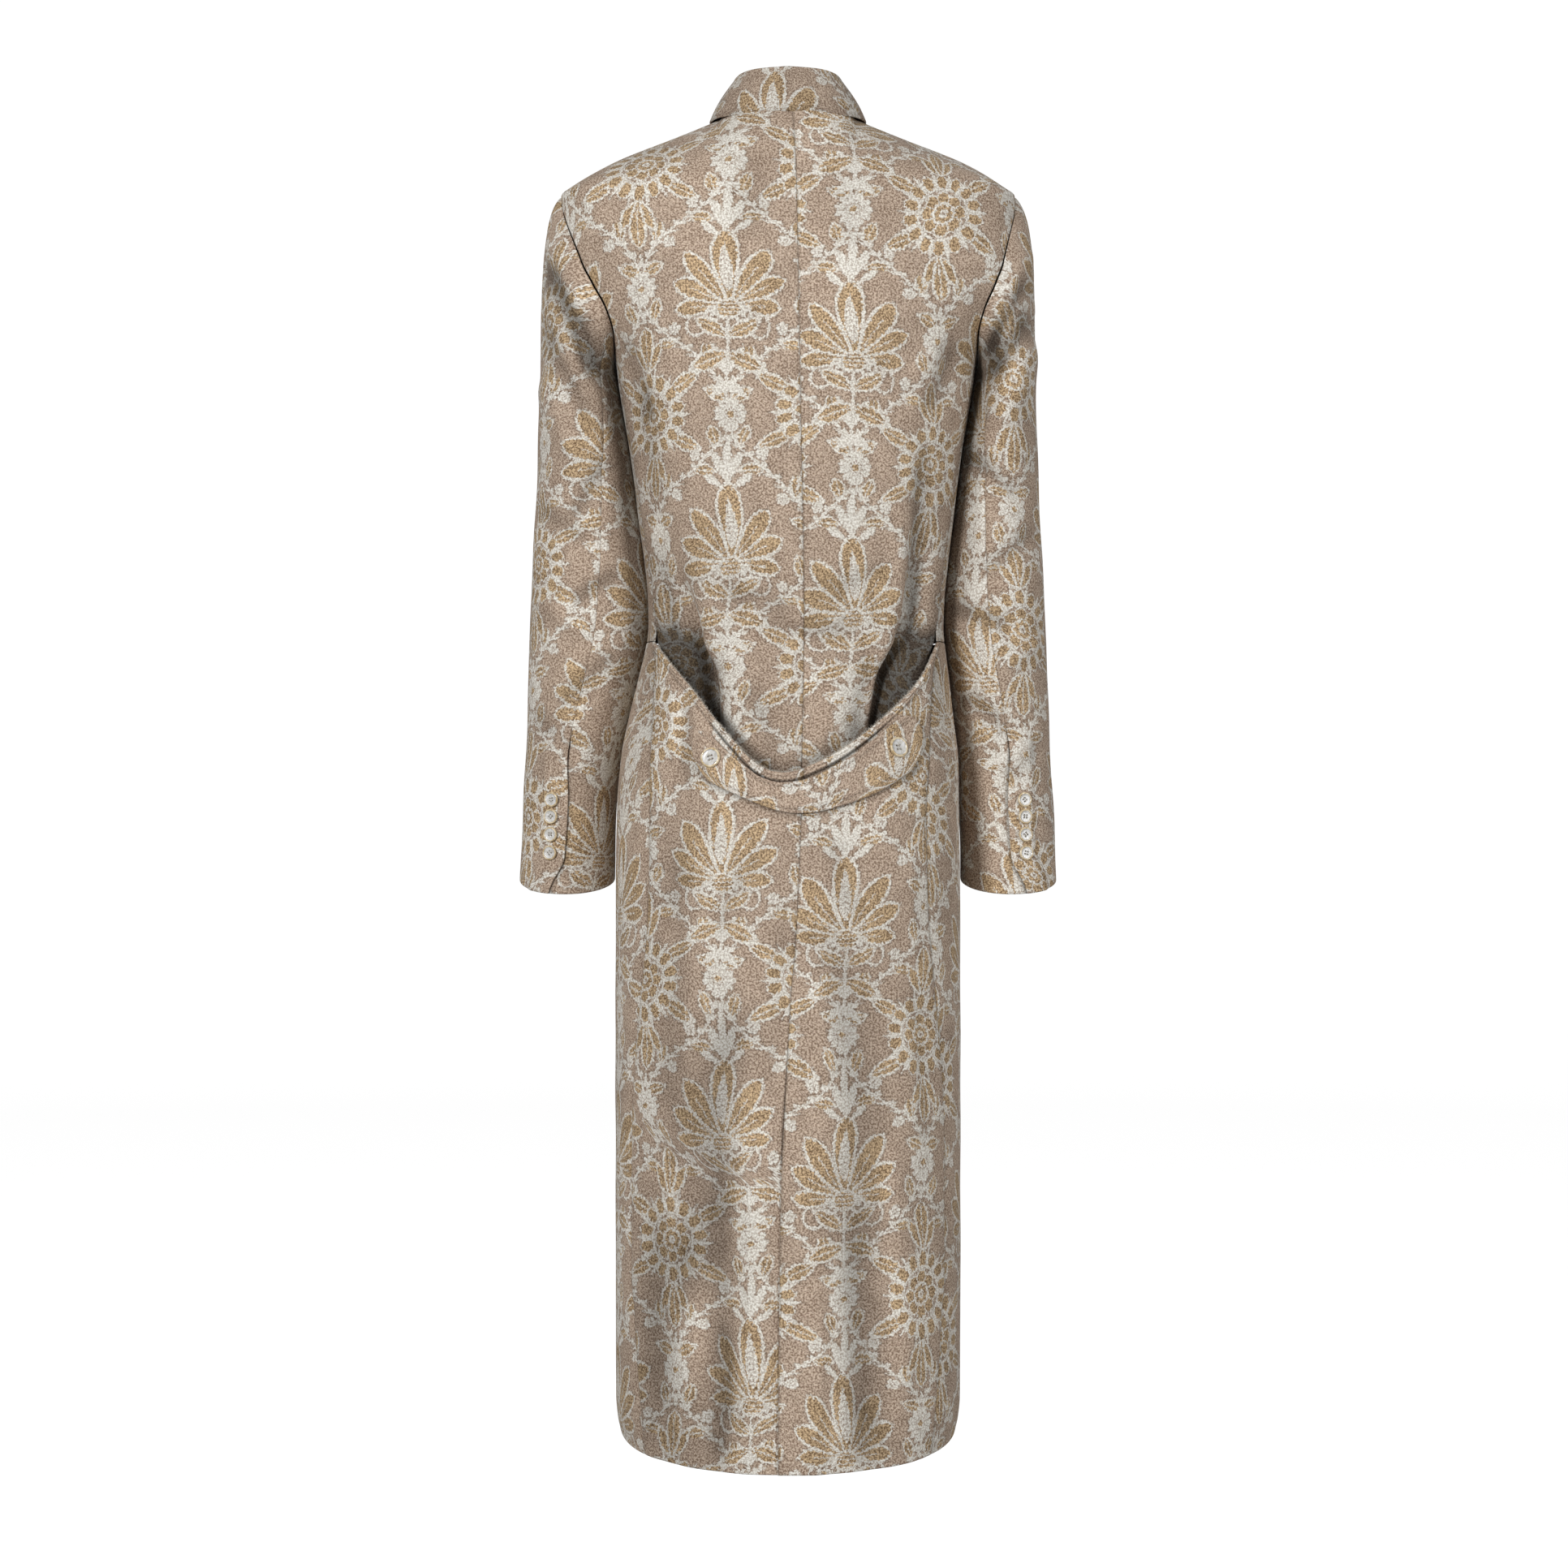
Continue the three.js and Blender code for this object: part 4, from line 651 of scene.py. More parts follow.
    P.bare(r - 2.2)

    # ---- daisies where the vines meet
    r1, r2 = K.hypot(xb, ya), K.hypot(xa, yb)
    near = K.less(r1, r2)
    px = K.mad(near, xb - xa, xa); py = K.mad(near, ya - yb, yb)
    r = K.min(r1, r2)
    a = K.fract(K.mad(K.atan2(py, px), 11 / (2 * math.pi), 0.5))
    d = r - K.curve(a, LOBE) * 20.0
    P.cream(d)
    P.bare(K.max(K.max((0.5 - K.abs(a - 0.5)) * r * 0.571 - 0.55, d), 8.0 - r))
    P.bare(K.abs(r - 7.0) - 0.7)
    P.filled(r - 5.0, 0.9)

    return P.C, P.G


def linear(r, g, b):
    f = lambda v: (v / 255 / 12.92) if v / 255 <= 0.04045 else ((v / 255 + 0.055) / 1.055) ** 2.4
    return f(r), f(g), f(b)


DESIGN_SCALE = 0.74      # the design's own millimetres on the cloth


def wool_material(name, face=True):
    m, tree = new_material(name)
    k = Sums(tree)
    uv = Val(k, k.node("ShaderNodeUVMap", uv_map="cut").outputs[0])
    mm = k.vector("SCALE", uv, None); mm.socket.node.inputs["Scale"].default_value = 1000.0
    if face:
        _, jitter = k.noise(uv, 430.0, 1.0, 0.5)                   # the pile's ragged edge, thread by thread
        _, drift = k.noise(uv, 11.0, 1.0, 0.5)                     # the cloth's own slight unevenness
        warp = k.vector("MULTIPLY_ADD", jitter, (4.6, 4.6, 0.0), mm)
        warp = k.vector("MULTIPLY_ADD", drift, (14.0, 14.0, 0.0), warp)
        warp = k.vector("ADD", warp, (-9.3, -9.3, 0.0))
        warp = k.vector("SCALE", warp, None); warp.socket.node.inputs["Scale"].default_value = 1 / DESIGN_SCALE
        X, Y = k.split(warp)
        C, G = design(k, X, Y)
        gold = k.ramp(G, 0.15, -0.75)
        cream = k.ramp(C, 0.85, -0.35) * (1.0 - gold)
        rim = k.ramp(C, 2.9, 0.9) * (1.0 - cream) * (1.0 - gold)  # the ground lies in the shade of the raised pile
    x, y = k.split(mm)
    speck, mixed = k.noise(uv, 560.0, 2.0, 0.75)                   # mixed yarns, one to two millimetres
    fleck, glitter = k.split(mixed)
    nap, _ = k.noise(uv, 10.0, 2.0, 0.5)
    wear, _ = k.noise(uv, 60.0, 3.0, 0.6)
    twill = k.sin(k.mad(x, 2.1, y * 2.9))
    tone = k.ramp(k.mad(speck, 0.55, k.mad(fleck, 0.45, k.mad(twill, 0.022, wear * 0.10))), 0.40, 0.70)
    ground = k.color(tone, linear(126, 104, 87), linear(200, 181, 162))
    if face:
        pale = k.color(k.ramp(k.mad(fleck, 0.5, speck * 0.5), 0.36, 0.62), linear(180, 170, 157), linear(231, 228, 220))
        glint = k.ramp(k.mad(glitter, 0.6, k.mad(speck, 0.4, wear * 0.10)), 0.43, 0.69)
        metal = k.color(glint, linear(110, 86, 62), linear(214, 187, 149))
        color = k.color(cream, ground, pale)
        color = k.color(gold, color, metal)
    else:
        float_yarn = k.ramp(k.sin(x * 4.2) * 0.06 + speck, 0.40, 0.60)
        color = k.color(float_yarn, linear(104, 88, 74), linear(168, 152, 134))
    # shade is the random tone of nap and wear; painted shade beside the raised pile and in the hollows is multiplied
    # into it below
    shade = k.ramp(k.mad(wear, 0.35, nap * 0.65), 0.32, 0.68, 0.92, 1.06)
    if face:
        shade = k.mad(rim, -0.20, shade)
    # painted shade: the hollow attribute darkens the colour by up to 60% in troughs, crevices and beside other parts
    painted_shade = Val(k, k.node("ShaderNodeAttribute", attribute_name="hollow").outputs["Fac"])
    shade = shade * k.mad(painted_shade, -0.60, 1.0)
    grey = k.node("ShaderNodeCombineColor")
    for socket in grey.inputs[:3]:
        k.put(socket, shade)
    color = k.color(1.0, color, Val(k, grey.outputs[0]), "MULTIPLY")
    # the height of the nap, which is cheap to work out three times over
    speck2, _ = k.noise(uv, 560.0, 2.0, 0.75)
    height = k.mad(speck2, 0.45, 0.0)
    bump = k.node("ShaderNodeBump"); bump.inputs["Strength"].default_value = 0.8; bump.inputs["Distance"].default_value = 0.0009
    k.put(bump.inputs["Height"], height)
    bsdf = k.node("ShaderNodeBsdfPrincipled")
    k.put(bsdf.inputs["Base Color"], color)
    if face:
        k.put(bsdf.inputs["Roughness"], k.mad(gold, -0.32, 0.92))
        k.put(bsdf.inputs["Metallic"], gold * 0.14)
    else:
        bsdf.inputs["Roughness"].default_value = 0.92
    bsdf.inputs["Specular IOR Level"].default_value = 0.22
    bsdf.inputs["Sheen Weight"].default_value = 0.08; bsdf.inputs["Sheen Roughness"].default_value = 0.45
    bsdf.inputs["Sheen Tint"].default_value = (1.0, 0.97, 0.93, 1.0)
    tree.links.new(bump.outputs[0], bsdf.inputs["Normal"])
    out = k.node("ShaderNodeOutputMaterial"); tree.links.new(bsdf.outputs[0], out.inputs[0])
    return m


def pearl_material(name, base_pair, tint_pair):
    m, tree = new_material(name)
    k = Sums(tree)
    at = Val(k, k.node("ShaderNodeTexCoord").outputs["Object"])
    swirl, _ = k.noise(at, 170.0, 3.0, 0.55, "3D")
    cloud, _ = k.noise(at, 420.0, 2.0, 0.5, "3D")
    base = k.color(k.ramp(swirl, 0.35, 0.65), *base_pair)
    tint = k.color(k.ramp(cloud, 0.40, 0.62), *tint_pair)
    both = k.color(0.45, base, tint)
    bsdf = k.node("ShaderNodeBsdfPrincipled")
    k.put(bsdf.inputs["Base Color"], both)
    k.put(bsdf.inputs["Roughness"], k.mad(cloud, 0.16, 0.16))
    bsdf.inputs["Coat Weight"].default_value = 0.35; bsdf.inputs["Coat Roughness"].default_value = 0.12
    bump = k.node("ShaderNodeBump"); bump.inputs["Strength"].default_value = 0.25; bump.inputs["Distance"].default_value = 0.0004
    k.put(bump.inputs["Height"], swirl)
    tree.links.new(bump.outputs[0], bsdf.inputs["Normal"])
    out = k.node("ShaderNodeOutputMaterial"); tree.links.new(bsdf.outputs[0], out.inputs[0])
    return m


def thread_material(name, dark, light):
    m, tree = new_material(name)
    k = Sums(tree)
    at = Val(k, k.node("ShaderNodeTexCoord").outputs["Object"])
    ply, _ = k.noise(at, 1400.0, 2.0, 0.6, "3D")
    color = k.color(k.ramp(ply, 0.36, 0.64), dark, light)
    bsdf = k.node("ShaderNodeBsdfPrincipled")
    k.put(bsdf.inputs["Base Color"], color)
    bsdf.inputs["Roughness"].default_value = 0.8
    bsdf.inputs["Sheen Weight"].default_value = 0.15
    bump = k.node("ShaderNodeBump"); bump.inputs["Strength"].default_value = 0.6; bump.inputs["Distance"].default_value = 0.0003
    k.put(bump.inputs["Height"], ply)
    tree.links.new(bump.outputs[0], bsdf.inputs["Normal"])
    out = k.node("ShaderNodeOutputMaterial"); tree.links.new(bsdf.outputs[0], out.inputs[0])
    return m


MATERIALS["wool"] = wool_material("wool")
MATERIALS["wool_inside"] = wool_material("wool_inside", face=False)
MATERIALS["pearl"] = pearl_material("pearl", (linear(182, 180, 174), linear(214, 213, 210)), (linear(168, 162, 148), linear(211, 211, 214)))
MATERIALS["thread"] = thread_material("sewing_thread", linear(150, 140, 126), linear(206, 200, 189))
MATERIALS["dark_thread"] = thread_material("topstitch_thread", linear(84, 69, 55), linear(132, 114, 96))
MATERIALS["pearl_rim"] = pearl_material("pearl_rim", (linear(182, 157, 113), linear(226, 213, 184)), (linear(170, 142, 98), linear(219, 205, 177)))
MATERIALS["yarn_ends"] = thread_material("yarn_ends", linear(172, 160, 144), linear(226, 221, 211))

# ---- upper back -----------------------------------------------------------------------------------------------
made = {}


def top_shares(length, step, first):
    """Rows that start close together where the cloth rolls over the shoulder, then evenly."""
    out, j = [0.0, 0.00012], 1
    z = 0.0
    while True:
        nxt = first * j ** 1.6
        if nxt - z > step:
            break
        z = nxt; out.append(z / length); j += 1
    rest = (1 - out[-1]) * length
    count = int(rest / step)
    return out, count


def body_rows(length, rim=RIM, low_edge=True):
    lo, count = top_shares(length, GRID, 0.22 * (GRID / 3.0) ** 1.6)
    hi = [1 - v / length for v in (2.2 * rim, rim, 0.6 * rim, 0.25 * rim, 0.0)] if low_edge else [1.0]
    inner = np.linspace(lo[-1], hi[0], count + 1)[1:-1]
    return np.array(lo + list(inner) + hi)


for side in (-1, 1):
    k = shares(168); rows = body_rows(648)
    s, share = np.meshgrid(k, rows)
    # the centre seam leans, so each column's top is found at its own height, where it meets the shoulder seam
    top = np.zeros(s[0].shape)
    for _ in range(12):
        top = top_of(side * towards(side * centre_angle(top), back_edge(top), top, s[0]), True)
    z = mix(top[None, :], TONGUE_END, share)
    edge_angle = np.where(z > CORNER, back_edge(z), np.arctan2(tongue_edge(z), depth_at(tongue_edge(z), z)))
    angle = side * towards(side * centre_angle(z), edge_angle, z, s)
    dip = tuck_middle(z) * (1 - s ** 4) + tuck_edge(z) * s ** 4 + tuck_hollow(z) * np.exp(-(((s - 0.79) / 0.08) ** 2))
    mid = section(angle, z, np.where(z > -340, 0, -dip))
    mid[..., 1] += SHOULDER_GAP * np.clip(1 - share / 0.0226, 0, 1)
    n, turned = outward(mid, normals(mid))
    calm = smooth(1, 0.86, s)
    creases = 1.7 * fold_depth(BACK_CREASES, mid[..., 0], mid[..., 2]) * calm
    small = uneven(mid[..., 0], mid[..., 2]) * calm * smooth(0, 0.03, s) * smooth(-12, -50, mid[..., 2])
    mid = mid + n * (creases + small - pressed(s, 168, (1.0, 0.8)) * smooth(-30, -60, mid[..., 2]) * np.where(s < 0.5, 1, smooth(UNDERARM, UNDERARM - 20, z)))[..., None]
    # the colour is darkened with painted shade in the creases' troughs, along the centre seam, beside the fold of the
    # tongue, just above where the skirt's edge lies on it, and beside the sleeve under the arm
    above = z - droop(np.clip(mid[..., 0], -117, 131))
    hollow = 0.8 * np.clip(-creases / 6, 0, 1) + 0.5 * np.exp(-((s * 168 / 1.5) ** 2))
    hollow = hollow + (1.35 if side < 0 else 1.15) * smooth(0.75, 0.85, s) * smooth(-434, -466, z) + 0.3 * smooth(0.66, 0.80, s) * smooth(-380, -440, z)
    hollow = hollow + 0.55 * smooth(18, 1, above) * smooth(-60, -20, above) * (z < CORNER)
    hollow = hollow + 0.5 * smooth(0.86, 1.0, s) * smooth(UNDERARM + 40, UNDERARM - 20, z) * (z > CORNER)
    flat = flat_by_length(mid, -220.0, 0.0, side)
    flat[..., 0] += centre_back(mid[:, :1, 2])
    n, turned = outward(mid, normals(mid))
    edge = np.minimum(rounding(k, 168, least=(0.5, 0.5))[None, :], rounding(rows, 648, ends=(True, True), least=(0.5, 0.1))[:, None])
    made[f"upper_back_{word(side)}"] = shell(f"upper_back_{word(side)}_cloth", mid, flat, edge, n, turned, hollow=hollow)

# ---- skirt back ----------------------------------------------------------------------------------------------------


def skirt_angle(side, s, z):
    start = centre_angle(z)
    if side < 0:
        start = start + (VENT_LAP / back_depth(z)) * smooth(VENT_TOP, VENT_TOP - 22, z)
    return mix(start, side * seam_angle(z), s)


def skirt_folds(side, s, z):
    u = section(skirt_angle(side, s, z), z)[..., 0]
    return 1.35 * fold_depth(SKIRT_FOLDS, u, z) + 1.7 * fold_depth(SKIRT_CREASES, u, z), uneven(u + 9, z), u


def skirt_point(side, s, z, extra=0.0):
    angle = skirt_angle(side, s, z)
    base = section(angle, z)
    from_middle = base[..., 0] - centre_back(z)
    lift = LAP * smooth(VENT_LAP + 21, VENT_LAP + 7, from_middle) * smooth(VENT_TOP + 110, VENT_TOP + 38, z) if side > 0 else 0.0
    deep, small, _ = skirt_folds(side, s, z)
    seam = pressed(s, 168, (np.where(z > VENT_TOP, 1.0, 0.0), 1.0)) * smooth(-4, -14, z - droop(np.clip(base[..., 0], -117, 131)))
    return section(angle, z, lift + (deep + small) * smooth(1, 0.8, s) - seam + extra)


def droop_at(side, s):
    z = np.full(np.shape(s), -520.0)
    for _ in range(40):
        z = mix(z, droop(section(skirt_angle(side, s, z), z)[..., 0]), 0.5)
    return np.where(s > 0.99, CORNER, np.minimum(z, CORNER))


def skirt_hem(side, s):
    z = np.full(np.shape(s), -1160.0)
    for _ in range(6):
        z = hem_level(section(skirt_angle(side, s, z), z)[..., 1])
    return z


HEM_RIM = 1.5
for side in (-1, 1):
    k = shares(168); rows = shares(650, rim=2.1)
    rows = np.concatenate([np.array([0, 0.5, 1.2, 2.1, 3.0, 3.6, 4.1, 4.6, 5.3, 6.3, 7.1, 7.9, 8.7, 9.5, 10.4, 11.8]) / 650, rows[rows > 14.0 / 650]])
    s, share = np.meshgrid(k, rows)
    top = droop_at(side, s[0])
    # the top edge runs on evenly into the side seam's corner
    low = skirt_hem(side, s[0])
    z = mix(top[None, :], low[None, :], share)
    mid = skirt_point(side, s, z)
    n, turned = outward(mid, normals(mid))
    flat = flat_by_length(mid, -700.0, 0.0, side)
    flat[..., 0] += centre_back(mid[:, :1, 2])
    below = (top[None, :] - z)
    inner = smooth(-72, -56, mid[..., 0]) * smooth(92, 76, mid[..., 0])
    roll = 0.7 * smooth(11, 7.2, below) * smooth(0, 2.4, below) - (0.8 + 1.5 * inner) * np.exp(-(((below - 8.6) / 1.3) ** 2)) - 0.5 * np.exp(-(((below - 4.1) / 0.6) ** 2))
    deep, _, u = skirt_folds(side, s, z)
    under_belt = z - belt_low(np.clip(u, -84, 118))
    beside = smooth(-84, -76, u) * smooth(118, 108, u)
    # painted shade: darker in the folds' troughs, in the grooves just under the top edge, in a band just below the half
    # belt's lower edge, and along both seams, most beside the sleeve
    hollow = np.clip(-deep / 7, 0, 1) * 0.85 + (0.35 + 1.0 * inner) * np.exp(-(((below - 8.8) / 1.6) ** 2)) + 0.45 * np.exp(-(((below - 4.1) / 0.7) ** 2))
    hollow = hollow + 0.55 * beside * smooth(-7, -0.5, under_belt) * smooth(30, 10, np.abs(under_belt))
    hollow = hollow + 0.4 * smooth(0.90, 1.0, s) * smooth(-700, -520, z) + 0.5 * np.exp(-((s * 168 / 1.6) ** 2)) + 0.35 * np.exp(-(((1 - s) * 168 / 1.8) ** 2))
    edge = np.minimum(rounding(k, 168, least=(0.5, 0.5))[None, :], rounding(rows, 650, rim=2.1, ends=(True, False))[:, None])
    edge = np.minimum(edge, rounding(rows, 650, rim=HEM_RIM, ends=(False, True))[:, None])
    edge = edge * (1 + 0.9 * smooth(10, 6, below))
    made[f"skirt_back_{word(side)}"] = shell(f"skirt_back_{word(side)}_cloth", mid, flat, edge, n, turned, lift=roll * smooth(1, 0.93, s), hollow=hollow)

# ---- fronts ------------------------------------------------------------------------------------------------------------


def front_angle(s, z):
    deep = front_depth(np.minimum(z, ARM_TOP))
    at = lambda u: math.pi - np.arctan2(u, deep)
    near = mix(at(-FRONT_LAP), at(FRONT_LAP + 6), s / 0.2)
    slope = mix(at(FRONT_LAP + 6), at(FRONT_LAP + 22), (s - 0.2) / 0.07)
    far = towards(at(FRONT_LAP + 22), front_edge(z), z, (s - 0.27) / 0.73)
    return np.where(s < 0.2, near, np.where(s < 0.27, slope, far))


def front_point(side, s, z):
    lift = LAP * smooth(0.27, 0.2, s) if side > 0 else np.zeros(np.shape(s))
    p = section(side * front_angle(s, z), z, lift)
    p[..., 2] += 1.1 * lift * smooth(ARM_TOP, ARM_TOP + 12, z)
    return p


def front_piece(name, side, rows, top, low, length, ends, level):
    k = shares(262)
    s, share = np.meshgrid(k, rows)
    z = mix(top(s[0])[None, :], low(s[0])[None, :], share)
    mid = front_point(side, s, z)
    if ends[0] == "shoulder":
        mid[..., 1] -= SHOULDER_GAP * np.clip(1 - share / 0.0226, 0, 1)
    n, turned = outward(mid, normals(mid))
    calm = smooth(0.1, 0.3, s) * smooth(1, 0.9, s)
    in_front = smooth(30, -5, mid[..., 1])
    creases = 1.4 * fold_depth(FRONT_CREASES, mid[..., 0], mid[..., 2]) * calm * in_front
    small = uneven(mid[..., 0] + 77, mid[..., 2]) * calm * in_front * smooth(-40, -90, mid[..., 2])
    mid = mid + n * (creases + small - pressed(s, 262, (0.0, 1.0)) * smooth(UNDERARM, UNDERARM - 20, z))[..., None]
    # painted shade: darker in the creases' troughs, along the side seam, and towards the side below the arm
    hollow = 0.8 * np.clip(-creases / 6, 0, 1) + 0.35 * np.exp(-(((1 - s) * 262 / 1.8) ** 2))
    hollow = hollow + 0.45 * smooth(0.84, 1.0, s) * smooth(UNDERARM + 40, UNDERARM - 20, z) * smooth(-620, -480, z)
    flat = flat_by_length(mid, level, side * (-FRONT_LAP), side)
    flat[..., 0] *= -1                      # seen from the front, the wearer's right is on the left
    n, turned = outward(mid, normals(mid))
    edge = np.minimum(rounding(k, 262, least=(0.1, 0.5))[None, :], rounding(rows, length, rim=HEM_RIM, least=(0.5, 0.5 if ends[1] == "waist" else 0.1))[:, None])
    made[name] = shell(f"{name}_cloth", mid, flat, edge, n, turned, hollow=hollow)


def front_hem(side, s):
    z = np.full(s.shape, -1155.0)
    for _ in range(6):
        z = hem_level(front_point(side, s, z)[..., 1])
    return mix(z, skirt_hem(side, np.array(1.0)), smooth(0.985, 1, s))


for side in (-1, 1):
    front_piece(f"front_{word(side)}", side, body_rows(435), lambda s: top_of(side * front_angle(s, np.full(s.shape, ARM_TOP)), False),
                lambda s: np.full(s.shape, CORNER + WAIST_GAP), 435, ("shoulder", "waist"), -220.0)
    front_piece(f"skirt_front_{word(side)}", side, shares(697, rim=HEM_RIM), lambda s: np.full(s.shape, CORNER - WAIST_GAP),
                lambda s: front_hem(side, s), 697, ("waist", "hem"), -457.0)

# ---- sleeves -----------------------------------------------------------------------------------------------------------------


def armhole_line(side):
    steps = 80
    z = mix(ARM_TOP, UNDERARM, np.arange(steps + 1) / steps)
    lines = [section(side * back_edge(z), z), section(side * front_edge(z), z)]
    runs = [np.concatenate([[0], np.cumsum(np.linalg.norm(np.diff(line, axis=0), axis=1))]) for line in lines]

    def at(angle):
        a = np.mod(angle, 360.0)
        out = np.empty(np.shape(a) + (3,))
        for line, run, mask, share in ((lines[0], runs[0], a <= 180, a / 180), (lines[1], runs[1], a > 180, (360 - a) / 180)):
            for axis in range(3):
                value = np.interp(share * run[-1], run, line[:, axis])
                out[..., axis] = np.where(mask, value, out[..., axis])
        return out
    return at


armhole = {1: armhole_line(1), -1: armhole_line(-1)}


def sleeve_ring(side, angle, z, out=0.0):
    inner = sleeve["inner"](z) + side * shift(z); outer = sleeve["outer"](z)
    a = np.radians(angle)
    u = (inner + outer) / 2 + ((outer - inner) / 2 + out) * np.cos(a)
    tilt = CUFF_TILT * np.sin(a) * smooth(-590, -680, z)
    return np.stack(np.broadcast_arrays(side * u, sleeve["lean"](z) + (sleeve["deep"](z) + out) * np.sin(a), z - tilt), -1)


def sleeve_level(w): return mix(CAP_LEVEL, CUFF_LEVEL, w - 1)


def sleeve_point(side, angle, w, out=0.0):
    angle, w, out = (np.array(v, float) for v in np.broadcast_arrays(angle, w, out))
    lower = sleeve_ring(side, angle, sleeve_level(np.maximum(w, 1)), out)
    a = np.radians(angle)
    start, to = armhole[side](angle), sleeve_ring(side, angle, np.full(angle.shape, CAP_LEVEL))
    nxt = sleeve_ring(side, angle, np.full(angle.shape, CAP_LEVEL - 5))
    reach = np.linalg.norm(start - to, axis=-1, keepdims=True)
    leave = np.stack([side * (34 + 34 * np.cos(a)), 22 * np.sin(a), -55 - 20 * np.abs(np.sin(a))], -1)
    leave = leave * np.where(np.cos(a) < 0, mix(1, 0.45, -np.cos(a)), 1)[..., None]
    start = start.copy()
    start[..., 0] += side * (CLOTH + SEAM + 0.2) * (0.5 - 0.5 * np.cos(a))
    arrive = nxt - to
    arrive = arrive / np.linalg.norm(arrive, axis=-1, keepdims=True) * reach * 0.95
    w1 = np.minimum(w, 1)[..., None]; w2 = w1 * w1; w3 = w2 * w1
    p = start * (2 * w3 - 3 * w2 + 1) + leave * (w3 - 2 * w2 + w1) + to * (3 * w2 - 2 * w3) + arrive * (w3 - w2)
    p[..., 0] += side * out * np.cos(a); p[..., 1] += out * np.sin(a)
    return np.where((w >= 1)[..., None], lower, p)


def against_body(side, p, w):
    """Under the arm the sleeve hangs against the coat's side and is pressed a little flat by it."""
    u, t, z = side * p[..., 0], p[..., 1], p[..., 2]
    room = u - (width_at(np.clip(t, -70, 60), np.minimum(z, ARM_TOP)) + side * shift(z)) - CLOTH - 0.5
    near = smooth(14, 3, room) * smooth(-196, -212, z) * smooth(-470, -400, z) * smooth(-64, -50, t) * smooth(12, -4, t)
    out = p.copy()
    out[..., 0] -= side * np.maximum(room, 0) * near
    return out


def rear_seam(w): return np.where(w >= 1, sleeve["rear"](sleeve_level(np.maximum(w, 1))), mix(152, sleeve["rear"](CAP_LEVEL), w))
def fore_seam(w): return np.where(w >= 1, sleeve["fore"](sleeve_level(np.maximum(w, 1))), mix(-132, sleeve["fore"](CAP_LEVEL), w))


def sleeve_creases(side, angle, p, w):
    rear_side = np.sin(np.radians(angle)) > 0
    u = side * p[..., 0]
    mine = lambda rows: [f for f in rows if f["side"] == side]
    behind = fold_depth(mine(SLEEVE_FOLDS), u, p[..., 2]) * smooth(0.1, 0.5, w) * rear_side
    small = fold_depth(mine(SLEEVE_CREASES), u, p[..., 2]) * smooth(0.0, 0.35, np.sin(np.radians(angle)))
    fore = fold_depth(mine(SLEEVE_FRONT_CREASES), u, p[..., 2]) * smooth(0.0, -0.35, np.sin(np.radians(angle)))
    out = 1.5 * behind + (2.0 * small + 1.6 * fore + uneven(u + 31 * side, p[..., 2], 1.2)) * smooth(0.06, 0.4, w)
    # towards the body the creases only go inwards, so the sleeve stays clear of the side seam
    near_body = smooth(0.2, -0.5, np.cos(np.radians(angle)))
    out = np.where(out > 0, out * (1 - near_body), out)
    # painted shade: darker in the troughs of the folds and creases, and on the inner side beside the body, from under
    # the arm down to the waist
    hollow = np.clip(-(2.3 * behind + 2.0 * small + 1.6 * fore) * smooth(0.06, 0.4, w) / 7, 0, 1.25) * 0.85
    inner_side = smooth(26, 4, u - (sleeve["inner"](p[..., 2]) + side * shift(p[..., 2])))
    hollow = hollow + 0.6 * inner_side * smooth(-150, -215, p[..., 2]) * smooth(-520, -430, p[..., 2])
    return out, hollow


def sleeve_rows():
    cap = np.linspace(0.0115, 1, int(150 / GRID) + 1)
    arm = 1 + shares(433, near=(False, True), rim=HEM_RIM)
    return np.concatenate([[cap[0], cap[0] + 0.0016, cap[0] + 0.004, cap[0] + 0.0075], cap[1:], arm[1:]])


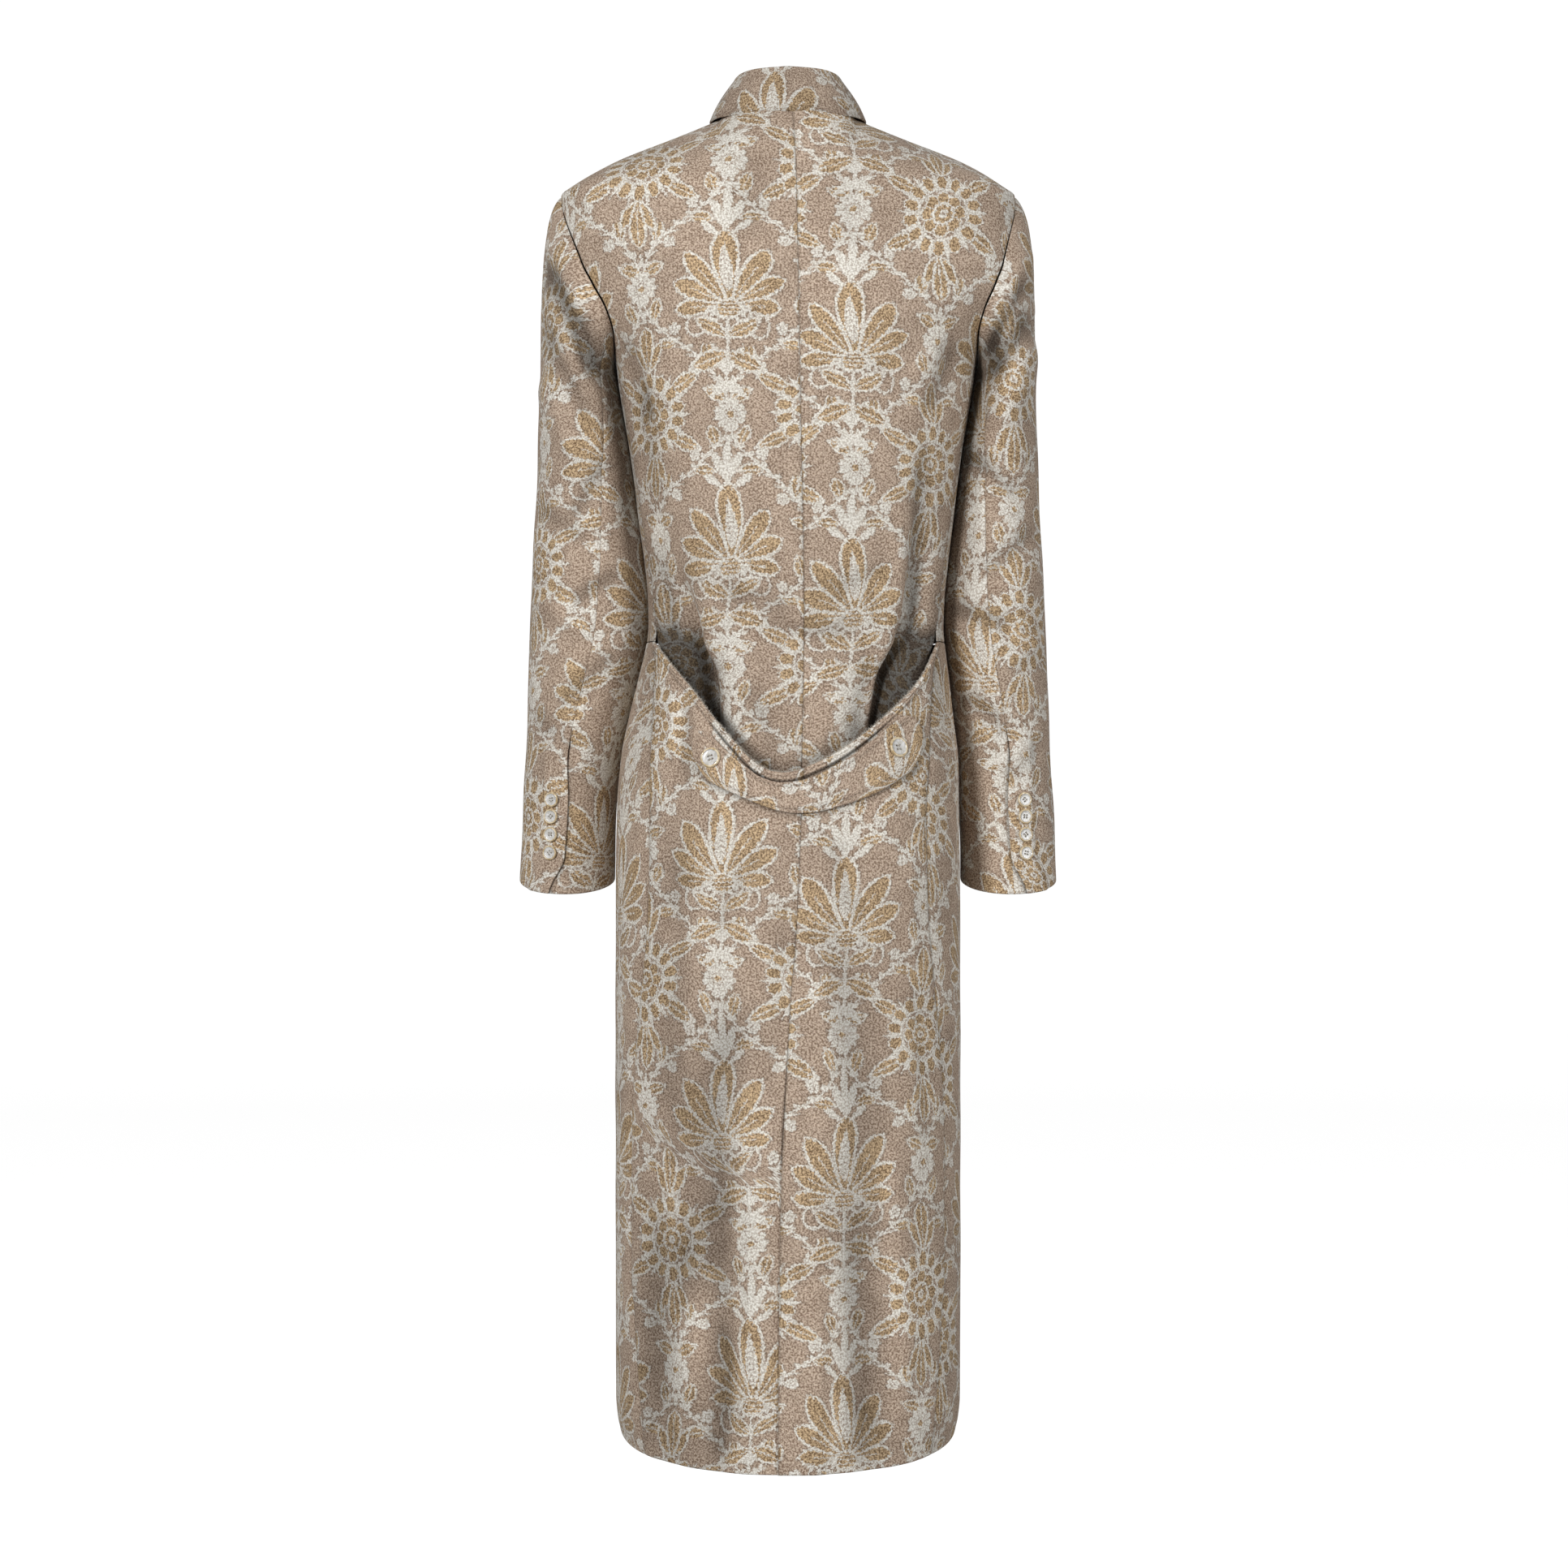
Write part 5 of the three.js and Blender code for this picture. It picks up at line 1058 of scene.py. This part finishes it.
for side in (-1, 1):
    rows = sleeve_rows()
    # distance down the sleeve of each row, to round the cuff and the armhole edge
    fall = np.where(rows < 1, rows * 150, 150 + (rows - 1) * 433)
    ends = rounding((fall - fall[0]) / (fall[-1] - fall[0]), fall[-1] - fall[0], rim=HEM_RIM, least=(0.5, 0.1))
    kt = shares(262); ku = shares(112)

    i, w = np.meshgrid(kt, rows)
    z = sleeve_level(w)
    rear, fore = rear_seam(w), fore_seam(w)
    angle = mix(fore + 0.05, rear - 0.05, i)
    lift = LAP * smooth(CUFF_VENT_WIDE, CUFF_VENT_FULL, rear - angle) * smooth(CUFF_VENT_TOP + 30, CUFF_VENT_TOP + 4, z) * (w >= 1)
    p = sleeve_point(side, angle, w)
    creases, hollow = sleeve_creases(side, angle, p, w)
    mid = sleeve_point(side, angle, w, lift + creases - pressed(i, 262) * smooth(0.1, 0.3, w) * (lift < 0.1))
    n, turned = outward(mid, normals(mid), side * 190.0, -28.0)
    flat = flat_by_length(mid, -300.0, 0.0, -side, cap=int((rows < 1).sum()))
    edge = np.minimum(rounding(kt, 262, least=(0.5, 0.5))[None, :], ends[:, None])
    made[f"top_sleeve_{word(side)}"] = shell(f"top_sleeve_{word(side)}_cloth", mid, flat, edge, n, turned, hollow=hollow)

    i, w = np.meshgrid(ku, rows)
    z = sleeve_level(w)
    tuck = np.where(w >= 1, CUFF_VENT_UNDER * smooth(CUFF_VENT_TOP, CUFF_VENT_TOP - 20, z), 0)
    angle = mix(rear_seam(w) + 0.05 - tuck, 360 + fore_seam(w) - 0.05, i)
    p = sleeve_point(side, angle, w)
    creases, hollow = sleeve_creases(side, angle, p, w)
    # painted shade: darker beside the rear seam at the top of the cuff vent, under the flap
    hollow = hollow + 0.75 * smooth(7, 0, angle - rear_seam(w)) * smooth(CUFF_VENT_TOP + 6, CUFF_VENT_TOP - 10, z) * (w >= 1)
    mid = against_body(side, sleeve_point(side, angle, w, creases - pressed(i, 112) * smooth(0.1, 0.3, w)), w)
    n, turned = outward(mid, normals(mid), side * 190.0, -28.0)
    flat = flat_by_length(mid, -300.0, 0.0, -side, cap=int((rows < 1).sum()))
    edge = np.minimum(rounding(ku, 112, least=(0.5, 0.5))[None, :], ends[:, None])
    made[f"under_sleeve_{word(side)}"] = shell(f"under_sleeve_{word(side)}_cloth", mid, flat, edge, n, turned, hollow=hollow)

# ---- collar ------------------------------------------------------------------------------------------------------------------------
COLLAR_END, ROLL = 176.0, 1.7


def collar_point(angle, v):
    angle, v = (np.array(x, float) for x in np.broadcast_arrays(angle, v))
    a, sign = np.abs(angle), np.where(angle < 0, -1, 1)
    fold = np.stack([sign * collar["foldU"](a), collar["foldT"](a), collar["foldZ"](a)], -1)
    edge = np.stack([sign * collar["edgeU"](a), collar["edgeT"](a), collar["edgeZ"](a)], -1)
    # it lies down on the shoulders and the back of the neck
    settle = smooth(128, 96, a)
    edge = edge - settle[..., None] * np.stack([sign * 0.9 * np.sin(np.radians(a)), 1.7 * np.maximum(np.cos(np.radians(a)), 0), 1.1 + 0.5 * np.sin(np.radians(a)) ** 2], -1)
    r = np.radians(angle); c = np.cos(r)
    deep, rise = np.where(c >= 0, NECK_BACK_DEEP, NECK_FRONT_DEEP), np.where(c >= 0, NECK_BACK_RISE, NECK_FRONT_DROP)
    seam = np.stack([NECK_HALF * np.sin(r), NECK_SIDE_T + deep * c, NECK_SIDE_Z + rise * c], -1)
    outward_ = edge - fold; outward_[..., 2] = 0
    outward_ = outward_ / np.linalg.norm(outward_, axis=-1, keepdims=True)
    inside, outside = fold - ROLL * outward_, fold + ROLL * outward_
    up = inside - seam
    start = (3 + 3.4 * smooth(148, 156, a)) / np.linalg.norm(up, axis=-1)
    stand = seam + up * mix(start, 1, np.clip(v / 0.42, 0, 1))[..., None]
    turn = np.clip((v - 0.42) / 0.16, 0, 1) * math.pi
    over = fold + outward_ * (-ROLL * np.cos(turn))[..., None]; over[..., 2] += ROLL * np.sin(turn)
    k = np.clip((v - 0.58) / 0.42, 0, 1)
    fall = mix(outside, edge, k[..., None]) + outward_ * (2.2 * np.sin(math.pi * k))[..., None]
    return np.where((v <= 0.42)[..., None], stand, np.where((v < 0.58)[..., None], over, fall))


k = shares(440, step=3.4, rim=1.5)
v = np.concatenate([np.array([0, 0.012, 0.03]), np.linspace(0.05, 0.42, 11), np.linspace(0.42, 0.58, 9)[1:],
                    np.linspace(0.58, 1 - 0.06, 18)[1:], 1 - np.array([0.042, 0.027, 0.0165, 0.0066, 0.0])])
kk, vv = np.meshgrid(k, v)
mid = collar_point(mix(-COLLAR_END, COLLAR_END, kk), vv)
mid[..., 0] += shift(ARM_TOP)
n = normals(mid)
away = mid[-1, :, 0] * n[-1, :, 0] + mid[-1, :, 1] * n[-1, :, 1]
turned = bool(away.sum() < 0)
if turned:
    n = -n
run = np.concatenate([[0], np.cumsum(np.linalg.norm(np.diff(mid[:, len(k) // 2], axis=0), axis=-1))])
flat = np.stack([np.broadcast_to(((k - 0.5) * 430)[None, :], kk.shape), np.broadcast_to(-run[:, None], kk.shape)], -1)
edge = np.minimum(rounding(k, 440, rim=1.5)[None, :], rounding(v, 130, rim=1.5)[:, None])
# painted shade: the whole collar darker, and more so close to its fallen edge
hollow = np.broadcast_to((0.30 + 0.5 * np.exp(-(((1 - v) * 62 / 3.0) ** 2)) * 0.5)[:, None], kk.shape) + 0 * kk
made["collar"] = shell("collar_cloth", mid, flat, edge, n, turned, inside="wool", hollow=hollow)

# ---- half belt -----------------------------------------------------------------------------------------------------------------------


def on_skirt(u, z, out):
    rel = u - shift(z)
    return section(np.arctan2(rel, depth_at(rel, z)), z, out)


def belt_out(q, r): return CLOTH + SEAM + 0.5 + 2.6 * (1 - r) * np.sin(math.pi * np.clip(q, 0, 1)) ** 0.7


def belt_point(q, r, out=0.0):
    u = mix(belt_left(r), belt_right(r), q)
    return on_skirt(u, mix(belt_top(u), belt_low(u), r), belt_out(q, r) + out)


kq = shares(200, step=3.0, rim=1.6); kr = shares(30, step=1.5, rim=1.6)
q, r = np.meshgrid(kq, kr)
mid = belt_point(q, r, 0.3)
n, turned = outward(mid, normals(mid))
step = np.diff(mid, axis=1)
along = np.concatenate([np.zeros((len(kr), 1)), np.cumsum(np.linalg.norm(step, axis=-1), 1)], 1)
down = np.concatenate([np.zeros((1, len(kq))), np.cumsum(np.linalg.norm(np.diff(mid, axis=0), axis=-1), 0)], 0)
flat = np.stack([along - along[:, len(kq) // 2][:, None], -down], -1)
edge = np.minimum(rounding(kq, 200, rim=1.6)[None, :], rounding(kr, 30, rim=1.6)[:, None])
# its edges are stitched down a little way in, which draws a shallow groove
groove = np.exp(-(((r - 0.14) * 34 / 0.9) ** 2)) + np.exp(-(((r - 0.86) * 34 / 0.9) ** 2)) * 1.0
groove = groove * smooth(0.014, 0.024, q) * smooth(0.986, 0.976, q) + (np.exp(-(((q - 0.024) * 190 / 0.9) ** 2)) + np.exp(-(((q - 0.976) * 190 / 0.9) ** 2))) * smooth(0.1, 0.14, r) * smooth(0.9, 0.86, r)
groove = np.clip(groove, 0, 1)
# the groove is also darkened with painted shade
made["half_belt"] = shell("half_belt_cloth", mid, flat, edge, n, turned, thick=3.2, lift=-0.55 * groove, hollow=0.5 * groove)

for node, piece in made.items():
    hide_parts(node)
    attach(piece, "root")

# ---- buttons ---------------------------------------------------------------------------------------------------------------------------


def frame_at(at, e=2.0):
    """Place and axes of a small thing that lies on a surface: right, up and out."""
    here = at(0.0, 0.0)
    right = at(e, 0.0) - at(-e, 0.0); up = at(0.0, e) - at(0.0, -e)
    right = right / np.linalg.norm(right)
    out = np.cross(right, up); out /= np.linalg.norm(out)
    if out[0] * here[0] + out[1] * here[1] < 0:
        out = -out
    return here, right, np.cross(out, right) * (1 if np.dot(np.cross(out, right), up) > 0 else -1), out


def tube(path, radius, sides=8, ends=True):
    """A thread along a path, narrowed at its ends."""
    path = np.asarray(path, float); n = len(path)
    along = np.gradient(path, axis=0); along /= np.linalg.norm(along, axis=1, keepdims=True)
    ref = np.array([0.31, 0.52, 0.79])
    a = np.cross(along, ref); a /= np.linalg.norm(a, axis=1, keepdims=True); b = np.cross(along, a)
    r = np.full(n, radius)
    if ends:
        r[0] = r[-1] = radius * 0.35
    t = np.linspace(0, 2 * math.pi, sides, endpoint=False)
    ring = path[:, None, :] + r[:, None, None] * (np.cos(t)[None, :, None] * a[:, None, :] + np.sin(t)[None, :, None] * b[:, None, :])
    points = np.concatenate([ring.reshape(-1, 3), path[:1], path[-1:]])
    ids = np.arange(n * sides).reshape(n, sides)
    nxt = np.roll(ids, -1, axis=1)
    quads = np.stack([ids[:-1], nxt[:-1], nxt[1:], ids[1:]], -1).reshape(-1, 4)
    caps = [np.stack([np.full(sides, n * sides), nxt[0], ids[0], ids[0]], -1), np.stack([np.full(sides, n * sides + 1), ids[-1], nxt[-1], nxt[-1]], -1)]
    return points, quads, [c[:, :3] for c in caps]


def gather(parts):
    """Joins pieces given as (points, faces, slot) into lists for one mesh."""
    points, faces, slots, base = [], [], [], 0
    for p, groups, slot in parts:
        points.append(p)
        for g in groups:
            for f in np.asarray(g):
                faces.append([int(i) + base for i in f]); slots.append(slot)
        base += len(p)
    return np.concatenate(points), faces, slots


def loose_mesh(name, points, faces, slots, materials):
    mesh = bpy.data.meshes.new(name)
    co = np.asarray(points, float) * 0.001; co[:, 0] *= -1
    mesh.from_pydata(co.tolist(), [], [f[::-1] for f in faces])
    mesh.polygons.foreach_set("material_index", np.asarray(slots, dtype=np.int32))
    mesh.update(); mesh.validate(clean_customdata=False)
    mesh.shade_smooth()
    for key in materials:
        mesh.materials.append(MATERIALS[key])
    obj = bpy.data.objects.new(name, mesh)
    bpy.context.collection.objects.link(obj)
    return obj


def disc_height(x, y, r, thick):
    """The face of a rimmed pearl button with a dished middle and four holes."""
    d = np.hypot(x, y) / r
    face = thick * np.interp(d, [0, 0.50, 0.66, 0.72, 0.80, 0.87, 0.93, 0.975, 1.0], [0.60, 0.62, 0.66, 0.66, 0.985, 1.0, 0.93, 0.74, 0.42])
    for a, b in ((-1, -1), (-1, 1), (1, -1), (1, 1)):
        hole = np.hypot(x - a * 0.175 * r, y - b * 0.175 * r) / (0.098 * r)
        face = face - thick * 0.50 * smooth(1.12, 0.80, hole)
        face = face + thick * 0.03 * np.exp(-(((hole - 1.35) / 0.25) ** 2))
    return face


def button(node, at, diameter, thick, turn):
    r = diameter / 2
    here, right, up, out = frame_at(at)
    count = 44
    g = np.linspace(-1, 1, count)
    gx, gy = np.meshgrid(g, g)
    # a square grid pressed into a disc
    dx = gx * np.sqrt(1 - gy ** 2 / 2); dy = gy * np.sqrt(1 - gx ** 2 / 2)
    x, y = dx * r, dy * r
    c, s_ = math.cos(turn), math.sin(turn)
    top = disc_height(x, y, r, thick)
    d = np.hypot(x, y) / r
    base = np.where(d > 0.8, thick * 0.42 * (d - 0.8) / 0.2, 0.0)
    px, py = x * c - y * s_, x * s_ + y * c
    place = here + out * (CLOTH / 2 + SEAM + 0.25)
    lay = lambda h: place + px[..., None] * right + py[..., None] * up + h[..., None] * out
    ids = np.arange(count * count).reshape(count, count)
    a, b, cc, dd = ids[:-1, :-1].ravel(), ids[:-1, 1:].ravel(), ids[1:, 1:].ravel(), ids[1:, :-1].ravel()
    quads = np.stack([a, b, cc, dd], 1)
    ring = np.concatenate([ids[0, :-1], ids[:-1, -1], ids[-1, :0:-1], ids[:0:-1, 0]]); nxt = np.roll(ring, -1)
    n = count * count
    wall = np.stack([nxt, ring, ring + n, nxt + n], 1)
    # the raised rim shows the shell's warmer outer layer, and the floors of the holes are given the dark topstitch
    # thread as painted shade
    dq = d.reshape(-1)[quads].mean(1)
    qx, qy = x.reshape(-1)[quads].mean(1), y.reshape(-1)[quads].mean(1)
    in_hole = np.hypot(np.abs(qx) - 0.175 * r, np.abs(qy) - 0.175 * r) < 0.088 * r
    points_ = np.concatenate([lay(top).reshape(-1, 3), lay(base).reshape(-1, 3)])
    parts = [(points_, [quads[(dq <= 0.775) & ~in_hole]], 0)]
    base_faces = [(quads[dq > 0.775], 2), (quads[:, ::-1] + n, 2), (wall, 2), (quads[in_hole], 3)]
    # two threads on each side, over the bridge between the holes, and a short shank under the button
    level = thick * 0.66
    for side_y in (-1, 1):
        for k_ in (-0.045, 0.045):
            t = np.linspace(-1, 1, 9)
            tx = 0.175 * r * t; ty = np.full(9, side_y * 0.175 * r + k_ * r)
            th = level + 0.26 - 0.9 * thick * smooth(0.86, 1.12, np.abs(t) * 1.12) * 0.35
            path = place + (tx * c - ty * s_)[:, None] * right + (tx * s_ + ty * c)[:, None] * up + th[:, None] * out
            p, q, caps = tube(path, 0.030 * r, 6)
            parts.append((p, [q, *caps], 1))
    path = place + np.linspace(-1.1, 0.3, 4)[:, None] * out
    p, q, caps = tube(path, 0.16 * r, 10, ends=False)
    parts.append((p, [q, *caps], 1))
    points_, faces_, slots_ = gather(parts)
    for g, slot in base_faces:
        for f in g:
            faces_.append([int(i) for i in f]); slots_.append(slot)
    obj = loose_mesh(f"{node}_pearl", points_, faces_, slots_, ["pearl", "thread", "pearl_rim", "dark_thread"])
    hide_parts(node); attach(obj, "root")
    return obj


for index, (b_side, bu, bz) in enumerate(((-1, -64.5, -560), (1, 92, -551))):
    def at(du, dz, bu=bu, bz=bz):
        u, z = bu + du, bz + dz
        r_ = (z - belt_top(u)) / (belt_low(u) - belt_top(u))
        q_ = (u - belt_left(r_)) / (belt_right(r_) - belt_left(r_))
        return on_skirt(u, z, belt_out(q_, r_))
    button(f"belt_button_{word(b_side)}", at, BUTTON["belt"], 3.2, (0.35, 0.12)[index])
for side in (-1, 1):
    for index, (bz, bu) in enumerate(((-595.5, 207), (-609.2, 207.6), (-622.9, 208), (-636.6, 208.6))):
        def at(du, dz, bu=bu, bz=bz, side=side):
            z, u = bz + dz, bu + side * du
            inner = sleeve["inner"](z) + side * shift(z); outer = sleeve["outer"](z)
            angle = np.degrees(np.arccos(np.clip((u - (inner + outer) / 2) / ((outer - inner) / 2), -1, 1)))
            return sleeve_ring(side, angle, z, LAP)
        button(f"cuff_button_{word(side)}_{index + 1}", at, BUTTON["cuff"], 2.8, 0.5 + 0.7 * index + 0.3 * side)
for index, bz in enumerate((-88, -196, -304, -412)):
    button(f"front_button_{index + 1}", lambda du, dz, bz=bz: section(np.float64(math.pi - du / 100), np.float64(bz + dz), LAP), BUTTON["front"], 3.4, 0.2 + 0.5 * index)

# ---- stitching and yarn ends ---------------------------------------------------------------------------------------------------------------


def stitch_row(name, line, out, length=3.1, gap=1.2, radius=0.36, sink=0.12):
    """A row of sewn stitches along a line of points, each dipping into the cloth at both ends."""
    run = np.concatenate([[0], np.cumsum(np.linalg.norm(np.diff(line, axis=0), axis=1))])
    parts, at_ = [], gap
    while at_ + length < run[-1]:
        t = np.linspace(at_, at_ + length, 5)
        path = np.stack([np.interp(t, run, line[:, i]) for i in range(3)], -1)
        up = np.stack([np.interp(t, run, out[:, i]) for i in range(3)], -1)
        path = path + up * (np.array([-0.55, 0.12, 0.26, 0.12, -0.55]) - sink)[:, None]
        p, q, caps = tube(path, radius, 6)
        parts.append((p, [q, *caps], 0))
        at_ += length + gap
    obj = loose_mesh(name, *gather(parts), ["dark_thread"])
    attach(obj, "root")
    return obj


def on_belt(q, r):
    p = belt_point(q, r, 0.3)
    e = 1e-3
    n_ = np.cross(belt_point(q + e, r, 0.3) - belt_point(q - e, r, 0.3), belt_point(q, r + e, 0.3) - belt_point(q, r - e, 0.3))
    n_ /= np.linalg.norm(n_, axis=-1, keepdims=True)
    flip = np.sign(n_[..., 0] * p[..., 0] + n_[..., 1] * p[..., 1])[..., None]
    return p + n_ * flip * 1.25, n_ * flip


qa = np.concatenate([np.linspace(0.03, 0.97, 90), np.full(14, 0.976), np.linspace(0.97, 0.03, 90), np.full(14, 0.024), [0.03]])
ra = np.concatenate([np.full(90, 0.14), np.linspace(0.17, 0.83, 14), np.full(90, 0.86), np.linspace(0.83, 0.17, 14), [0.14]])
line, out_ = on_belt(qa, ra)
belt_stitches = stitch_row("half_belt_stitching", line, out_, 2.4, 1.5, 0.4)


def skirt_line(u, z):
    """A line on the left or right skirt back, found by its place across the panel."""
    side_ = np.where(u < centre_back(z), -1, 1); sign_ = int(side_[0])
    lo, hi = np.zeros(len(u)), np.ones(len(u))
    for _ in range(30):
        mid_ = (lo + hi) / 2
        past = sign_ * (section(skirt_angle(sign_, mid_, z), z)[..., 0] - u) > 0
        hi = np.where(past, mid_, hi); lo = np.where(past, lo, mid_)
    s_ = (lo + hi) / 2
    p = skirt_point(sign_, s_, z)
    around, down_ = skirt_point(sign_, s_ + 0.004, z) - skirt_point(sign_, s_ - 0.004, z), skirt_point(sign_, s_, z + 0.5) - skirt_point(sign_, s_, z - 0.5)
    n_ = np.cross(around, down_); n_ /= np.linalg.norm(n_, axis=-1, keepdims=True)
    n_ *= np.sign(n_[:, :1] * p[:, :1] + n_[:, 1:2] * p[:, 1:2])
    return p + n_ * 1.05, n_


line, out_ = skirt_line(np.linspace(-106, -84, 24), np.interp(np.linspace(-106, -84, 24), [-106, -95, -84], [-541, -551, -562]))
left_stitches = stitch_row("skirt_stitching_left", line, out_, 2.4, 1.5, 0.34)

rng = np.random.default_rng(7)


def yarn_ends(name, line, lean, out, count, length, spread=0.9, radius=0.16):
    """Short loose ends of yarn along an edge, so the cut cloth looks fluffy there."""
    run = np.concatenate([[0], np.cumsum(np.linalg.norm(np.diff(line, axis=0), axis=1))])
    points, faces = [], []
    for i in range(count):
        t = rng.uniform(0, run[-1])
        at_ = np.array([np.interp(t, run, line[:, j]) for j in range(3)])
        l_ = np.array([np.interp(t, run, lean[:, j]) for j in range(3)]); o_ = np.array([np.interp(t, run, out[:, j]) for j in range(3)])
        side_ = np.cross(l_, o_)
        way = l_ * rng.uniform(0.3, 1.0) + side_ * rng.normal(0, spread) + o_ * rng.uniform(-0.3, 0.7)
        way /= np.linalg.norm(way)
        bend = side_ * rng.normal(0, 0.5) + o_ * rng.normal(0, 0.4)
        size = length * rng.uniform(0.4, 1.0)
        at_ = at_ + o_ * rng.uniform(-1.0, 1.0)
        thin = np.cross(way, bend); thin /= max(np.linalg.norm(thin), 1e-6)
        wide = np.cross(thin, way)
        base_ = len(points)
        for v_, w_ in ((-0.25, 1.0), (0.45, 0.8), (1.0, 0.15)):
            c_ = at_ + way * size * v_ + bend * size * max(v_, 0) ** 2 * 0.6
            for a_ in (0, 2.0944, 4.18879):
                points.append(c_ + radius * w_ * (math.cos(a_) * thin + math.sin(a_) * wide))
        for lv in (0, 3):
            for j in range(3):
                faces.append([base_ + lv + j, base_ + lv + (j + 1) % 3, base_ + lv + 3 + (j + 1) % 3, base_ + lv + 3 + j])
        faces.append([base_ + 8, base_ + 7, base_ + 6][::-1]); faces.append([base_, base_ + 1, base_ + 2][::-1])
    obj = loose_mesh(name, np.array(points), faces, [0] * len(faces), ["yarn_ends"])
    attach(obj, "root")
    return obj


for side in (-1, 1):
    s_line = np.linspace(0.02, 0.955, 120)
    z_line = droop_at(side, s_line)
    line = skirt_point(side, s_line, z_line)
    below_ = skirt_point(side, s_line, z_line - 4.0)
    lean = line - below_; lean /= np.linalg.norm(lean, axis=1, keepdims=True)
    out_ = line * np.array([1, 1, 0]); out_ /= np.linalg.norm(out_, axis=1, keepdims=True)
    yarn_ends(f"skirt_edge_yarn_ends_{word(side)}", line, lean, out_, 700, 2.6)

# ---- floor, light and camera ---------------------------------------------------------------------------------------------------------------
floor_mesh = bpy.data.meshes.new("floor_sweep")
FLOOR_Z, FLOOR_R, COVE, AROUND = -1.5, 8.0, 2.0, 64
profile = [(0.0, FLOOR_Z), (3.0, FLOOR_Z)] + [(FLOOR_R + COVE * math.sin(a), FLOOR_Z + COVE - COVE * math.cos(a)) for a in np.linspace(0, math.pi / 2, 9)]
profile += [((FLOOR_R + COVE) * math.cos(a), FLOOR_Z + COVE + (FLOOR_R + COVE) * math.sin(a)) for a in np.linspace(0, math.pi / 2, 13)[1:]]
verts = [(r_ * math.cos(2 * math.pi * j / AROUND), r_ * math.sin(2 * math.pi * j / AROUND), z_) for r_, z_ in profile[1:-1] for j in range(AROUND)]
faces = [(i * AROUND + j, i * AROUND + (j + 1) % AROUND, (i + 1) * AROUND + (j + 1) % AROUND, (i + 1) * AROUND + j) for i in range(len(profile) - 3) for j in range(AROUND)]
verts += [(0.0, 0.0, FLOOR_Z), (0.0, 0.0, profile[-1][1])]
last = (len(profile) - 3) * AROUND
faces += [((j + 1) % AROUND, j, len(verts) - 2) for j in range(AROUND)] + [(last + j, last + (j + 1) % AROUND, len(verts) - 1) for j in range(AROUND)]
floor_mesh.from_pydata(verts, [], faces); floor_mesh.shade_smooth()
floor = bpy.data.objects.new("floor_sweep", floor_mesh)
bpy.context.collection.objects.link(floor)
m, tree = new_material("studio_paper")
out = tree.nodes.new("ShaderNodeOutputMaterial"); paper = tree.nodes.new("ShaderNodeBsdfPrincipled")
paper.inputs["Base Color"].default_value = (0.9, 0.9, 0.9, 1); paper.inputs["Roughness"].default_value = 0.9
paper.inputs["Emission Color"].default_value = (1, 1, 1, 1); paper.inputs["Emission Strength"].default_value = 0.75
tree.links.new(paper.outputs[0], out.inputs[0])
floor_mesh.materials.append(m)
floor.visible_diffuse = floor.visible_glossy = floor.visible_shadow = False      # the paper's own light doesn't rim the coat


def area_light(name, at, aim, size, power, color=(1, 1, 1)):
    data = bpy.data.lights.new(name, "AREA"); data.shape = "RECTANGLE"; data.size, data.size_y = size
    data.energy = power; data.color = color
    lamp = bpy.data.objects.new(name, data); bpy.context.collection.objects.link(lamp)
    way = np.array(aim, float) - np.array(at, float); way /= np.linalg.norm(way)
    lamp.location = at
    lamp.rotation_euler = (math.acos(-way[2]), 0.0, math.atan2(-way[0], way[1]))
    return lamp


area_light("key", (1.9, 3.4, 0.35), (0, 0, -0.62), (0.8, 1.0), 106)
area_light("fill", (-2.9, 2.9, -0.2), (0, 0, -0.62), (1.4, 2.0), 62)
area_light("top", (0.0, 1.2, 2.6), (0, 0, -0.4), (2.4, 1.6), 12)
world = bpy.data.worlds.new("studio"); bpy.context.scene.world = world; world.use_nodes = True
world.node_tree.nodes["Background"].inputs[0].default_value = (1, 1, 1, 1)
world.node_tree.nodes["Background"].inputs[1].default_value = 0.24

camera_data = bpy.data.cameras.new("camera"); camera_data.sensor_width = 36; camera_data.lens = 93.17
camera = bpy.data.objects.new("camera", camera_data); bpy.context.collection.objects.link(camera)
camera.location = (0.0035, 3.6, -0.582); camera.rotation_euler = (math.pi / 2, 0, math.pi)
bpy.context.scene.camera = camera
bpy.context.scene.view_settings.view_transform = "Standard"

# ---- an empty loop over the two sides, which does nothing -------------------------------------------------------------------------------------
for side in (-1, 1):
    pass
